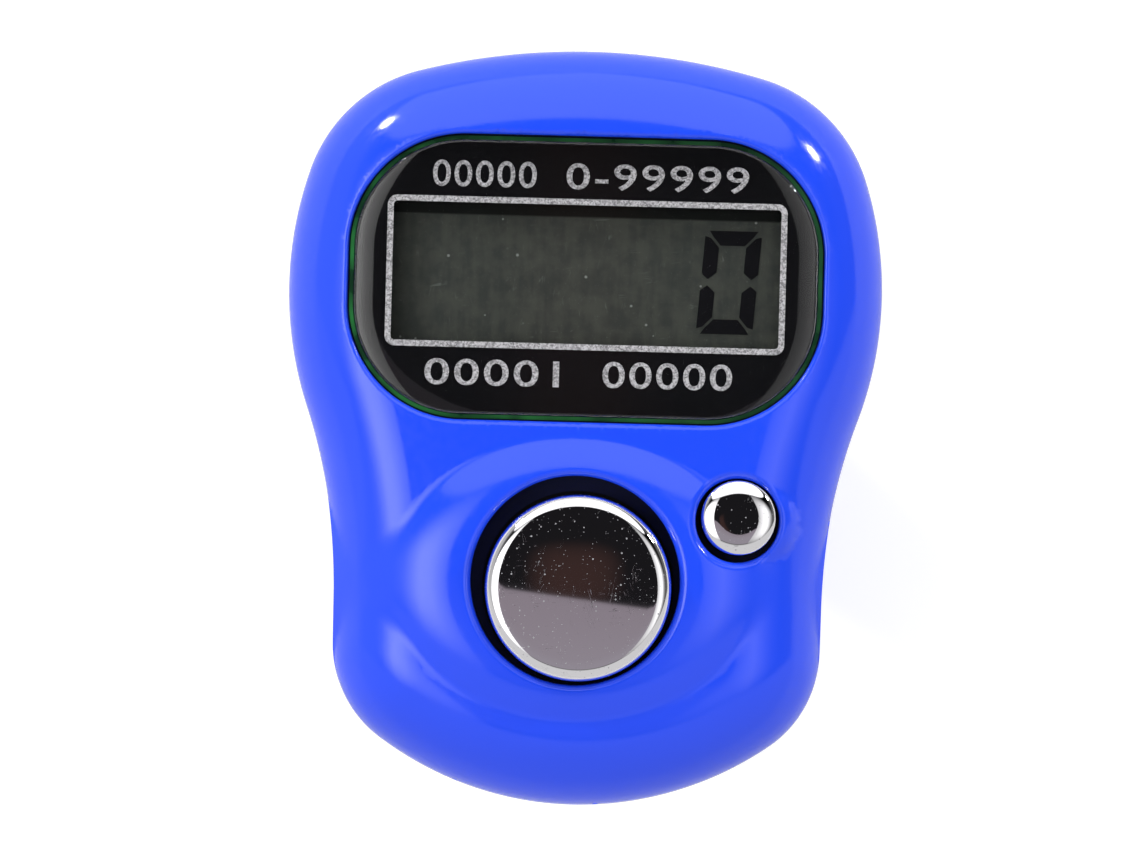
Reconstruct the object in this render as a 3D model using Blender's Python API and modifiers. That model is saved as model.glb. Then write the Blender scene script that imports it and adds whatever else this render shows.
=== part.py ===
"""Digital finger counter: a moulded case with a display window and two buttons, worn on a finger band.

Metres, +Z out of the display face, +Y towards the display end. The counter stands on the flat of its finger
band, with the origin on that surface under the middle of the case. Each piece is an object of its own.
"""

import math

import bmesh
import bpy
from mathutils import Matrix

MM = 0.001

# Case outline: tangent arcs from the middle of the top edge, down the right side, mirrored to the left
TOP_RADIUS = 33.7 * MM
TOP_TURN = math.radians(15)
SHOULDER_RADIUS = 7.8 * MM
SHOULDER_TURN = math.radians(56.5)
SIDE_RADIUS = 18.6 * MM
SIDE_TURN = math.radians(38)
WAIST_RADIUS = 29.0 * MM
FLANK_LENGTH = 2.25 * MM
CORNER_RADIUS = 5.75 * MM
CORNER_TURN = math.radians(54.5)

# Case in depth
REAR_DEPTH = 4.8 * MM  # back plane to parting line
FRONT_DEPTH = 7.0 * MM  # parting line to the middle of the face
WALL = 1.2 * MM
FACE_THICKNESS = 2.15 * MM
CROWN_RADIUS = 80.0 * MM  # the face is bowed from side to side
RIM_DEPTH = 4.4 * MM  # how far in from the edge the face starts to round over
RIM_HEIGHT = 4.0 * MM
REAR_EDGE_DEPTH = 2.2 * MM
REAR_EDGE_HEIGHT = 3.0 * MM
LIP_THICKNESS = 0.7 * MM
LIP_HEIGHT = 0.7 * MM

# Fits
SEAT = 0.1 * MM  # between faces that rest on each other
SLIP = 0.15 * MM  # round a piece that drops into a pocket

# Display
WINDOW_WIDTH = 23.9 * MM
WINDOW_HEIGHT = 14.35 * MM
WINDOW_CORNER = 5.8 * MM
WINDOW_FROM_TOP = 11.6 * MM  # top of the case to the middle of the window
LENS_THICKNESS = 1.45 * MM
LENS_PROUD = 0.1 * MM
LENS_BEVEL = 0.3 * MM
MASK_THICKNESS = 0.15 * MM
VIEW_WIDTH = 19.55 * MM
VIEW_HEIGHT = 7.2 * MM
VIEW_CORNER = 0.8 * MM
VIEW_ABOVE_WINDOW = 0.25 * MM  # the clear area sits above the window's middle
VIEW_SLOPE = 0.4 * MM  # the case's own opening is this much wider all round
GLASS_WIDTH = 21.2 * MM
GLASS_HEIGHT = 10.4 * MM
GLASS_THICKNESS = 0.75 * MM
GLASS_BELOW_VIEW = 0.6 * MM  # the glass reaches further down, where its contacts are
CONTACT_LEDGE = 2.0 * MM  # strip of the front glass that overhangs the rear glass
FILM_THICKNESS = 0.15 * MM
FILM_INSET = 0.3 * MM
HOLDER_WALL = 0.6 * MM
HOLDER_LEDGE = 0.9 * MM
ZEBRA_DEPTH = 1.5 * MM
ZEBRA_END_GAP = 0.35 * MM  # to the holder, at each end of the strip

# Circuit board
BOARD_THICKNESS = 0.8 * MM
BOARD_GAP = 0.3 * MM  # to the lip of the rear cover
GLOB_RADIUS = 3.4 * MM
GLOB_HEIGHT = 1.1 * MM
CHIP_PART_SIZE = (1.6 * MM, 0.8 * MM, 0.6 * MM)

# Count button
COUNT_FROM_BOTTOM = 11.05 * MM
COUNT_RADIUS = 4.6 * MM
COUNT_MOUTH_GAP = 0.65 * MM
COUNT_COLLAR_GAP = 0.2 * MM
COUNT_OFF_CENTRE = (0.15 * MM, -0.35 * MM)  # the button sits this far off the middle of its hole and mound
COUNT_TOP = 1.55 * MM  # above the middle of the face
COUNT_EDGE = 0.75 * MM
COUNT_DOME = 0.12 * MM
COUNT_MOUND_RADII = (10.0 * MM, 8.9 * MM)  # across and along the case
COUNT_MOUND_HEIGHT = 3.0 * MM
COUNT_MOUND_SUNK = 1.95 * MM
COUNT_MOUND_FORM = 2.6

# Reset button
RESET_X = 7.95 * MM
RESET_ABOVE_COUNT = 3.7 * MM
RESET_RADIUS = 1.75 * MM
RESET_MOUTH_GAP = 0.35 * MM
RESET_COLLAR_GAP = 0.15 * MM
RESET_OFF_CENTRE = (0.05 * MM, 0.15 * MM)
RESET_TOP = 0.35 * MM
RESET_EDGE = 0.45 * MM
RESET_DOME = 0.15 * MM
RESET_MOUND_RADII = (3.25 * MM, 3.25 * MM)
RESET_MOUND_HEIGHT = 2.2 * MM
RESET_MOUND_SUNK = 2.2 * MM
RESET_MOUND_FORM = 2.0

# Both buttons
FLANGE_LIP = 0.5 * MM  # how far a button's flange reaches under the case
FLANGE_THICKNESS = 0.75 * MM
BUTTON_WALL = 0.7 * MM
BUTTON_BOSS_RADIUS = 1.0 * MM
MOUTH_DEPTH = 1.75 * MM  # the wide part of a button hole stops this far under the face
BUTTON_TRAVEL = 0.5 * MM
PLUNGER_TRAVEL = 0.25 * MM
SWITCH_GAP = 0.05 * MM  # left over a plunger, and under it, when a button is fully down

# Push switches on the board
SWITCH_HEIGHT = 1.5 * MM
COUNT_SWITCH_SIDE = 5.2 * MM
RESET_SWITCH_SIDE = 3.6 * MM
SWITCH_WALL = 0.55 * MM
SWITCH_FLOOR = 0.3 * MM
COVER_THICKNESS = 0.15 * MM
PLUNGER_RISE = 0.5 * MM  # above the switch cover
PLUNGER_SHARE = 0.5  # plunger radius as a share of its cavity
PLUNGER_FOOT = 0.3 * MM
PLUNGER_CLEARANCE = 0.15 * MM
DOME_SHEET = 0.12 * MM
DOME_RISE = 0.12 * MM

# Battery and its door
BATTERY_RADIUS = 5.8 * MM
BATTERY_HEIGHT = 3.05 * MM
BATTERY_STEP = 0.55 * MM  # height of the smaller negative cap
BATTERY_CAP_INSET = 0.9 * MM
BATTERY_Y = 4.4 * MM
BATTERY_CLEARANCE = 0.3 * MM
BATTERY_RING_WALL = 0.7 * MM
DOOR_THICKNESS = 0.9 * MM
DOOR_LEDGE = 0.7 * MM
DOOR_MARGIN = 0.8 * MM
DOOR_CORNER = 2.0 * MM
DOOR_SCREW_TAB = 3.0 * MM
DOOR_TONGUE = (3.0 * MM, 0.8 * MM, 0.45 * MM)
GRIP_LENGTH = 5.8 * MM  # grooves that a fingernail holds the door by
GRIP_WIDTH = 0.6 * MM
GRIP_PITCH = 1.2 * MM
GRIP_DEPTH = 0.3 * MM
CONTACT_SHEET = 0.15 * MM
CONTACT_WIDTH = 2.6 * MM
CONTACT_FOOT = 2.0 * MM

# Screws
SCREW_RADIUS = 0.6 * MM
SCREW_HOLE_RADIUS = 0.75 * MM
SCREW_HEAD_RADIUS = 1.25 * MM
SCREW_HEAD_HEIGHT = 0.7 * MM
SCREW_HEAD_SUNK = 0.5 * MM
SCREW_BITE = 2.2 * MM  # how far a case screw reaches into the front boss
DOOR_SCREW_LENGTH = 3.0 * MM
CROSS_WIDTH = 0.3 * MM
CROSS_DEPTH = 0.4 * MM
BOSS_RADIUS = 1.6 * MM
BOSS_ROOT = 0.3 * MM  # how far a boss runs up into the face
UPPER_BOSS_TURN = math.radians(20)
UPPER_BOSS_INSET = 2.8 * MM
LOWER_BOSS_TURN = math.radians(115)
LOWER_BOSS_INSET = 3.4 * MM

# Finger band and the saddle that it passes
BAND_DROP = 15.0 * MM  # back of the case to the outside of the band's flat
BAND_WIDTH = 8.0 * MM
BAND_THICKNESS = 1.1 * MM
BAND_HALF_SPAN = 9.3 * MM
BAND_BEND = 6.5 * MM
BAND_Y = 1.0 * MM
BAND_HEAD_LIP = 0.8 * MM  # head beyond the leg, across it
BAND_HEAD_EAR = 1.1 * MM  # head beyond the leg, along the slot
BAND_HEAD_THICKNESS = 1.4 * MM
BAND_RIBS = 3
BAND_RIB_HEIGHT = 0.4 * MM
BAND_RIB_MARGIN = 0.5 * MM
BAND_RIB_PITCH = 1.6 * MM
SLOT_CLEARANCE = 0.2 * MM
SADDLE_RADIUS = 20.0 * MM
SADDLE_DEPTH = 0.8 * MM

# Levels, worked out from the sizes above
BACK_Z = BAND_DROP
PARTING_Z = BACK_Z + REAR_DEPTH
FACE_Z = PARTING_Z + FRONT_DEPTH
CEILING_Z = FACE_Z - FACE_THICKNESS
LENS_TOP_Z = FACE_Z + LENS_PROUD
LENS_BOTTOM_Z = LENS_TOP_Z - LENS_THICKNESS
MASK_TOP_Z = LENS_BOTTOM_Z - SEAT
POCKET_FLOOR_Z = MASK_TOP_Z - MASK_THICKNESS - SEAT
FRONT_FILM_TOP_Z = CEILING_Z - SEAT
FRONT_GLASS_TOP_Z = FRONT_FILM_TOP_Z - FILM_THICKNESS - SEAT / 2
REAR_GLASS_TOP_Z = FRONT_GLASS_TOP_Z - GLASS_THICKNESS - SEAT / 2
REAR_FILM_TOP_Z = REAR_GLASS_TOP_Z - GLASS_THICKNESS - SEAT / 2
REAR_FILM_BOTTOM_Z = REAR_FILM_TOP_Z - FILM_THICKNESS
FLANGE_TOP_Z = CEILING_Z - SEAT
FLANGE_BOTTOM_Z = FLANGE_TOP_Z - FLANGE_THICKNESS
PLUNGER_TOP_Z = FLANGE_BOTTOM_Z - BUTTON_TRAVEL + PLUNGER_TRAVEL - SWITCH_GAP
SWITCH_TOP_Z = PLUNGER_TOP_Z - PLUNGER_RISE
BOARD_TOP_Z = SWITCH_TOP_Z - SWITCH_HEIGHT - SEAT
BOARD_BOTTOM_Z = BOARD_TOP_Z - BOARD_THICKNESS
DOOR_INNER_Z = BACK_Z + SADDLE_DEPTH + DOOR_THICKNESS
FLOOR_Z = DOOR_INNER_Z + DOOR_LEDGE
DOOR_SEAT_Z = DOOR_INNER_Z - DOOR_THICKNESS / 2
BATTERY_BOTTOM_Z = DOOR_INNER_Z + SEAT
BATTERY_TOP_Z = BATTERY_BOTTOM_Z + BATTERY_HEIGHT
BAND_HEAD_Z = FLOOR_Z + SEAT
SCREW_SEAT_Z = BACK_Z + SCREW_HEAD_SUNK + SCREW_HEAD_HEIGHT + SEAT
BOARD_INSET = WALL + SEAT + LIP_THICKNESS + BOARD_GAP
ABOVE = 3.0 * MM  # how far a cutter runs past the face that it opens

# Colours: linear RGB, roughness, metallic
BLUE_GLOSS = ((0.02, 0.085, 0.93), 0.16, 0.0)
BLUE_SOFT = ((0.02, 0.075, 0.75), 0.5, 0.0)
CHROME = ((0.72, 0.72, 0.74), 0.06, 1.0)
LENS_CLEAR = ((0.05, 0.055, 0.06), 0.05, 0.0)
BLACK_PRINT = ((0.006, 0.006, 0.007), 0.3, 0.0)
GLASS = ((0.1, 0.11, 0.1), 0.08, 0.0)
DISPLAY_FILM = ((0.055, 0.06, 0.052), 0.35, 0.0)
BLACK_PLASTIC = ((0.012, 0.012, 0.013), 0.45, 0.0)
WHITE_PLASTIC = ((0.75, 0.74, 0.7), 0.45, 0.0)
SILICONE = ((0.3, 0.3, 0.32), 0.6, 0.0)
BOARD_GREEN = ((0.01, 0.11, 0.04), 0.4, 0.0)
SOLDER_METAL = ((0.6, 0.6, 0.58), 0.3, 1.0)
STEEL = ((0.5, 0.5, 0.5), 0.3, 1.0)
NICKEL = ((0.62, 0.6, 0.55), 0.2, 1.0)


# Outline of the case

def arcs():
    """Arcs of the right half: radius, hollow ones negative, heading at the start and the end, and steps."""
    shoulder = TOP_TURN + SHOULDER_TURN
    side = shoulder + SIDE_TURN
    square = math.pi / 2
    corner = square + CORNER_TURN
    half_width_there = (
        TOP_RADIUS * math.sin(TOP_TURN)
        + SHOULDER_RADIUS * (math.sin(shoulder) - math.sin(TOP_TURN))
        + SIDE_RADIUS * (math.sin(side) - math.sin(shoulder))
        - WAIST_RADIUS * (1 - math.sin(side))
        + CORNER_RADIUS * (math.sin(corner) - 1)
    )
    bottom_radius = half_width_there / math.sin(corner)
    return [
        (TOP_RADIUS, 0.0, TOP_TURN, 3),
        (SHOULDER_RADIUS, TOP_TURN, shoulder, 7),
        (SIDE_RADIUS, shoulder, side, 5),
        (-WAIST_RADIUS, side, square, 3),
        (None, square, square, 1),
        (CORNER_RADIUS, square, corner, 5),
        (bottom_radius, corner, math.pi, 5),
    ]


def half_length():
    """Half the length of the case, from the drop of each arc."""
    drop = FLANK_LENGTH
    for radius, start, end, _ in arcs():
        if radius is not None:
            drop += radius * (math.cos(start) - math.cos(end))
    return drop / 2


def right_side(inset):
    """Points down the right side, parallel to the edge at that inset."""
    x, y = 0.0, half_length() - inset
    points = []
    for radius, start, end, steps in arcs():
        if radius is None:
            points.append((x, y))
            y -= FLANK_LENGTH
            continue
        bend = radius - inset
        for step in range(steps):
            turn = start + (end - start) * step / steps
            across = bend * (math.sin(turn) - math.sin(start))
            down = bend * (math.cos(start) - math.cos(turn))
            points.append((x + across, y - down))
        x += bend * (math.sin(end) - math.sin(start))
        y -= bend * (math.cos(start) - math.cos(end))
    points.append((0.0, y))
    return points


def outline(inset):
    """Closed outline of the case at that inset. Far in, it shrinks towards the middle instead."""
    parallel = min(inset, 0.85 * CORNER_RADIUS)
    right = right_side(parallel)
    widest = max(x for x, _ in right)
    shrink = max(0.05, (widest - (inset - parallel)) / widest)
    closed = right + [(-x, y) for x, y in reversed(right[1:-1])]
    return [(x * shrink, y * shrink) for x, y in closed]


def face_height(x, inset):
    """Height of the front shell's outside at x, that far in from the edge."""
    crown = x * x / (2 * CROWN_RADIUS)
    outside = max(0.0, 1 - inset / RIM_DEPTH)
    return FACE_Z - crown - RIM_HEIGHT * (1 - math.sqrt(1 - outside * outside))


def point_inside(arc_index, turn, inset):
    """Point at that heading on one arc of the right side, that far in from the edge."""
    x, y = 0.0, half_length() - inset
    for index, (radius, start, end, _) in enumerate(arcs()):
        if radius is None:
            y -= FLANK_LENGTH
            continue
        bend = radius - inset
        last = turn if index == arc_index else end
        x += bend * (math.sin(last) - math.sin(start))
        y -= bend * (math.cos(start) - math.cos(last))
        if index == arc_index:
            return x, y
    return x, y


WINDOW_Y = half_length() - WINDOW_FROM_TOP
VIEW_Y = WINDOW_Y + VIEW_ABOVE_WINDOW
GLASS_Y = VIEW_Y - GLASS_BELOW_VIEW
COUNT_AT = (0.0, COUNT_FROM_BOTTOM - half_length())
RESET_AT = (RESET_X, COUNT_AT[1] + RESET_ABOVE_COUNT)
COUNT_HOLE_AT = (COUNT_AT[0] - COUNT_OFF_CENTRE[0], COUNT_AT[1] - COUNT_OFF_CENTRE[1])
RESET_HOLE_AT = (RESET_AT[0] - RESET_OFF_CENTRE[0], RESET_AT[1] - RESET_OFF_CENTRE[1])
UPPER_BOSS = point_inside(1, UPPER_BOSS_TURN, UPPER_BOSS_INSET)
LOWER_BOSS = point_inside(5, LOWER_BOSS_TURN, LOWER_BOSS_INSET)
SCREW_PLACES = {
    "case_screw_upper_right": UPPER_BOSS,
    "case_screw_upper_left": (-UPPER_BOSS[0], UPPER_BOSS[1]),
    "case_screw_lower_right": LOWER_BOSS,
    "case_screw_lower_left": (-LOWER_BOSS[0], LOWER_BOSS[1]),
}
DOOR_HALF_WIDTH = BATTERY_RADIUS + BATTERY_CLEARANCE + DOOR_MARGIN
DOOR_BOTTOM = BATTERY_Y - DOOR_HALF_WIDTH
DOOR_TOP = BATTERY_Y + DOOR_HALF_WIDTH + DOOR_SCREW_TAB
DOOR_SCREW_AT = (0.0, DOOR_TOP - DOOR_SCREW_TAB / 2)


# Blender tools

def clear_scene():
    for obj in list(bpy.data.objects):
        bpy.data.objects.remove(obj)


def new_collection(name):
    collection = bpy.data.collections.new(name)
    bpy.context.scene.collection.children.link(collection)
    return collection


clear_scene()
PIECES = new_collection("digital_finger_counter")
CUTTERS = new_collection("cutters")


def place(name, mesh, where, location=(0, 0, 0)):
    obj = bpy.data.objects.new(name, mesh)
    where.objects.link(obj)
    obj.location = location
    if where is CUTTERS:
        obj.hide_render = True
        obj.display_type = "WIRE"
    return obj


def from_bmesh(name, bm, where, location=(0, 0, 0)):
    bmesh.ops.recalc_face_normals(bm, faces=bm.faces)
    mesh = bpy.data.meshes.new(name)
    bm.to_mesh(mesh)
    bm.free()
    return place(name, mesh, where, location)


def finish(obj, look, smooth_below=35):
    """Material of a piece, and smooth shading over its round faces."""
    colour, roughness, metallic = look
    material = bpy.data.materials.new(obj.name)
    material.use_nodes = True
    shader = material.node_tree.nodes["Principled BSDF"]
    shader.inputs["Base Color"].default_value = (*colour, 1)
    shader.inputs["Roughness"].default_value = roughness
    shader.inputs["Metallic"].default_value = metallic
    material.diffuse_color = (*colour, 1)
    obj.data.materials.clear()
    obj.data.materials.append(material)
    obj.data.shade_smooth()
    obj.data.set_sharp_from_angle(angle=math.radians(smooth_below))
    return obj


def box(name, low, high, where=PIECES):
    """Box between two corners."""
    bm = bmesh.new()
    size = [b - a for a, b in zip(low, high)]
    middle = [(a + b) / 2 for a, b in zip(low, high)]
    bmesh.ops.create_cube(bm, size=1, matrix=Matrix.Diagonal((*size, 1)))
    return from_bmesh(name, bm, where, middle)


def cylinder(name, at, radius, bottom, top, where=PIECES, segments=32):
    bm = bmesh.new()
    bmesh.ops.create_cone(
        bm, cap_ends=True, segments=segments, radius1=radius, radius2=radius, depth=top - bottom
    )
    return from_bmesh(name, bm, where, (*at, (bottom + top) / 2))


def swelling(name, centre, radii, form, segments, rings):
    """Round swelling: an ellipsoid at form 2, flatter on top and steeper at its sides above that.

    It is turned first, so that no edge of it lies along an edge of what it joins.
    """
    bm = bmesh.new()
    turn = Matrix.Rotation(math.pi / segments / 1.7, 4, "Z")
    bmesh.ops.create_uvsphere(bm, u_segments=segments, v_segments=rings, radius=1, matrix=turn)
    for vert in bm.verts:
        x, y, z = vert.co
        reach = min(1.0, math.hypot(x, y))
        height = math.copysign(math.sqrt(1 - reach**form), z)
        vert.co = (x * radii[0], y * radii[1], height * radii[2])
    return from_bmesh(name, bm, CUTTERS, centre)


def prism(name, points, bottom, top, where=PIECES):
    """Flat outline with thickness: a filled 2D curve, made a mesh so that it can be cut."""
    curve = bpy.data.curves.new(name + "_outline", "CURVE")
    curve.dimensions = "2D"
    curve.fill_mode = "BOTH"
    curve.extrude = (top - bottom) / 2
    spline = curve.splines.new("POLY")
    spline.points.add(len(points) - 1)
    spline.use_cyclic_u = True
    for corner, (x, y) in zip(spline.points, points):
        corner.co = (x, y, 0, 1)
    guide = place(name + "_outline", curve, CUTTERS, (0, 0, (bottom + top) / 2))
    return meshed(guide, name, where)


def meshed(guide, name, where):
    """A curve object made a mesh object, with its caps welded to its sides."""
    bpy.context.view_layer.update()
    evaluated = guide.evaluated_get(bpy.context.evaluated_depsgraph_get())
    mesh = bpy.data.meshes.new_from_object(evaluated)
    bm = bmesh.new()
    bm.from_mesh(mesh)
    bmesh.ops.remove_doubles(bm, verts=bm.verts, dist=0.001 * MM)
    bmesh.ops.recalc_face_normals(bm, faces=bm.faces)
    bm.to_mesh(mesh)
    bm.free()
    mesh.name = name
    obj = place(name, mesh, where)
    obj.matrix_world = guide.matrix_world
    bpy.data.objects.remove(guide)
    return obj


def loft(name, rings, where=PIECES, apex=None):
    """Closed skin through rings of equally many points, with a flat start and a flat or pointed end."""
    bm = bmesh.new()
    loops = [[bm.verts.new(point) for point in ring] for ring in rings]
    count = len(loops[0])
    bm.faces.new(loops[0])
    for lower, upper in zip(loops, loops[1:]):
        for i in range(count):
            j = (i + 1) % count
            bm.faces.new((lower[i], lower[j], upper[j], upper[i]))
    if apex is None:
        bm.faces.new(loops[-1])
    else:
        tip = bm.verts.new(apex)
        for i in range(count):
            bm.faces.new((loops[-1][i], loops[-1][(i + 1) % count], tip))
    return from_bmesh(name, bm, where)


def turned(name, at, profile, where=PIECES, steps=32):
    """Turned piece: a profile of (radius, height), from the top centre down its outside, spun round Z."""
    mesh = bpy.data.meshes.new(name)
    edges = [(i, i + 1) for i in range(len(profile) - 1)]
    mesh.from_pydata([(radius, 0, height) for radius, height in profile], edges, [])
    obj = place(name, mesh, where, (*at, 0))
    screw = obj.modifiers.new("turn", "SCREW")
    screw.steps = screw.render_steps = steps
    screw.use_merge_vertices = True
    screw.merge_threshold = 0.001 * MM
    screw.use_smooth_shade = True
    return obj


def boolean(obj, other, operation):
    modifier = obj.modifiers.new(other.name, "BOOLEAN")
    modifier.object = other
    modifier.operation = operation
    modifier.solver = "EXACT"


def cut(obj, *cutters):
    for cutter in cutters:
        boolean(obj, cutter, "DIFFERENCE")


def join(obj, *others):
    for other in others:
        boolean(obj, other, "UNION")


def rounded_rectangle(width, height, corner, centre=(0, 0), steps=6):
    corner = min(corner, width / 2 * 0.98, height / 2 * 0.98)
    points = []
    for quarter, (sx, sy) in enumerate(((1, 1), (-1, 1), (-1, -1), (1, -1))):
        for step in range(steps + 1):
            turn = (quarter + step / steps) * math.pi / 2
            points.append(
                (
                    centre[0] + sx * (width / 2 - corner) + corner * math.cos(turn),
                    centre[1] + sy * (height / 2 - corner) + corner * math.sin(turn),
                )
            )
    return points


def bent_strip(name, path, width, thickness, middle_y, where=PIECES):
    """Sheet bent along a path of (x, z): an extruded open curve, thickened to both sides."""
    curve = bpy.data.curves.new(name + "_line", "CURVE")
    curve.dimensions = "2D"
    curve.extrude = width / 2
    spline = curve.splines.new("POLY")
    spline.points.add(len(path) - 1)
    for corner, (x, z) in zip(spline.points, path):
        corner.co = (x, z, 0, 1)
    guide = place(name + "_line", curve, CUTTERS, (0, middle_y, 0))
    guide.rotation_euler.x = math.pi / 2
    obj = meshed(guide, name, where)
    solidify = obj.modifiers.new("thickness", "SOLIDIFY")
    solidify.thickness = thickness
    solidify.offset = 0
    solidify.use_even_offset = True
    return obj


# Case

def shell_rings(first_inset, rim_steps, height):
    """Rings of the face from the edge inwards, each point at height(x, inset)."""
    turns = [math.pi / 2 * step / rim_steps for step in range(rim_steps + 1)]
    insets = [first_inset + RIM_DEPTH * (1 - math.cos(turn)) for turn in turns]
    middle = max(x for x, _ in outline(0)) - insets[-1]
    insets += [insets[-1] + middle * share for share in (0.4, 0.75)]
    return [[(x, y, height(x, inset)) for x, y in outline(inset)] for inset in insets]


def face_blank():
    """Outer form of the front shell: parting line, rounded rim and bowed face."""
    edge = [(x, y, PARTING_Z) for x, y in outline(0)]
    rings = [edge] + shell_rings(0, 7, face_height)
    return loft("front_shell", rings, apex=(0, 0, FACE_Z))


def front_cavity():
    """Inside of the front shell: parallel to its walls, and flat over the board."""

    def ceiling(x, inset):
        return min(CEILING_Z, face_height(x, inset - WALL) - WALL)

    foot = [(x, y, PARTING_Z - ABOVE) for x, y in outline(WALL)]
    return loft("front_cavity", [foot] + shell_rings(WALL, 4, ceiling), CUTTERS, apex=(0, 0, CEILING_Z))


def button_hole(name, mouth_at, mouth_radius, at, collar_radius):
    """Three bores: the mouth that shows, the collar that guides the button, and room for its flange."""
    floor = FACE_Z - MOUTH_DEPTH
    mouth = cylinder(name + "_mouth", mouth_at, mouth_radius, floor, FACE_Z + ABOVE, CUTTERS, segments=40)
    collar = cylinder(name + "_collar", at, collar_radius, PARTING_Z, FACE_Z, CUTTERS, segments=36)
    room = collar_radius + FLANGE_LIP + SLIP
    return mouth, collar, cylinder(name + "_room", at, room, PARTING_Z, CEILING_Z, CUTTERS, segments=28)


def make_front_shell():
    shell = face_blank()
    count_mound = (*COUNT_HOLE_AT, FACE_Z - COUNT_MOUND_SUNK)
    count_form = (*COUNT_MOUND_RADII, COUNT_MOUND_HEIGHT)
    join(shell, swelling("count_mound", count_mound, count_form, COUNT_MOUND_FORM, 48, 22))
    reset_mound = (*RESET_HOLE_AT, FACE_Z - RESET_MOUND_SUNK)
    reset_form = (*RESET_MOUND_RADII, RESET_MOUND_HEIGHT)
    join(shell, swelling("reset_mound", reset_mound, reset_form, RESET_MOUND_FORM, 28, 14))
    cut(shell, front_cavity())
    pocket_x = GLASS_WIDTH / 2 + HOLDER_WALL + 2 * SLIP
    pocket_y = GLASS_HEIGHT / 2 + HOLDER_WALL + 2 * SLIP
    glass_pocket = box(
        "glass_pocket",
        (-pocket_x, GLASS_Y - pocket_y, PARTING_Z),
        (pocket_x, GLASS_Y + pocket_y, CEILING_Z),
        CUTTERS,
    )
    lens_pocket = prism(
        "lens_pocket",
        rounded_rectangle(WINDOW_WIDTH, WINDOW_HEIGHT, WINDOW_CORNER, (0, WINDOW_Y), 8),
        POCKET_FLOOR_Z,
        FACE_Z + ABOVE,
        CUTTERS,
    )
    view_opening = prism(
        "view_opening",
        rounded_rectangle(
            VIEW_WIDTH + 2 * VIEW_SLOPE,
            VIEW_HEIGHT + 2 * VIEW_SLOPE,
            VIEW_CORNER + VIEW_SLOPE,
            (0, VIEW_Y),
            3,
        ),
        PARTING_Z,
        FACE_Z,
        CUTTERS,
    )
    cut(shell, glass_pocket, lens_pocket, view_opening)
    for name, mouth_at, mouth_gap, at, radius, collar_gap in (
        ("count_hole", COUNT_HOLE_AT, COUNT_MOUTH_GAP, COUNT_AT, COUNT_RADIUS, COUNT_COLLAR_GAP),
        ("reset_hole", RESET_HOLE_AT, RESET_MOUTH_GAP, RESET_AT, RESET_RADIUS, RESET_COLLAR_GAP),
    ):
        cut(shell, *button_hole(name, mouth_at, radius + mouth_gap, at, radius + collar_gap))
    for name, at in SCREW_PLACES.items():
        bottom = BOARD_TOP_Z + SEAT
        join(shell, cylinder(name + "_boss", at, BOSS_RADIUS, bottom, CEILING_Z + BOSS_ROOT, CUTTERS, 18))
        pilot_end = BOARD_TOP_Z + SCREW_BITE + 2 * SEAT
        cut(shell, cylinder(name + "_pilot", at, SCREW_HOLE_RADIUS, PARTING_Z, pilot_end, CUTTERS, 16))
    return finish(shell, BLUE_GLOSS)


def rear_blank():
    """Outer form of the rear cover, from its flat back up to the parting line."""
    rings = []
    steps = 4
    for step in range(steps + 1):
        turn = math.pi / 2 * step / steps
        inset = REAR_EDGE_DEPTH * (1 - math.sin(turn))
        z = BACK_Z + REAR_EDGE_HEIGHT * (1 - math.cos(turn))
        rings.append([(x, y, z) for x, y in outline(inset)])
    rings.append([(x, y, PARTING_Z - SEAT) for x, y in outline(0)])
    return loft("rear_cover", rings)


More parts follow.
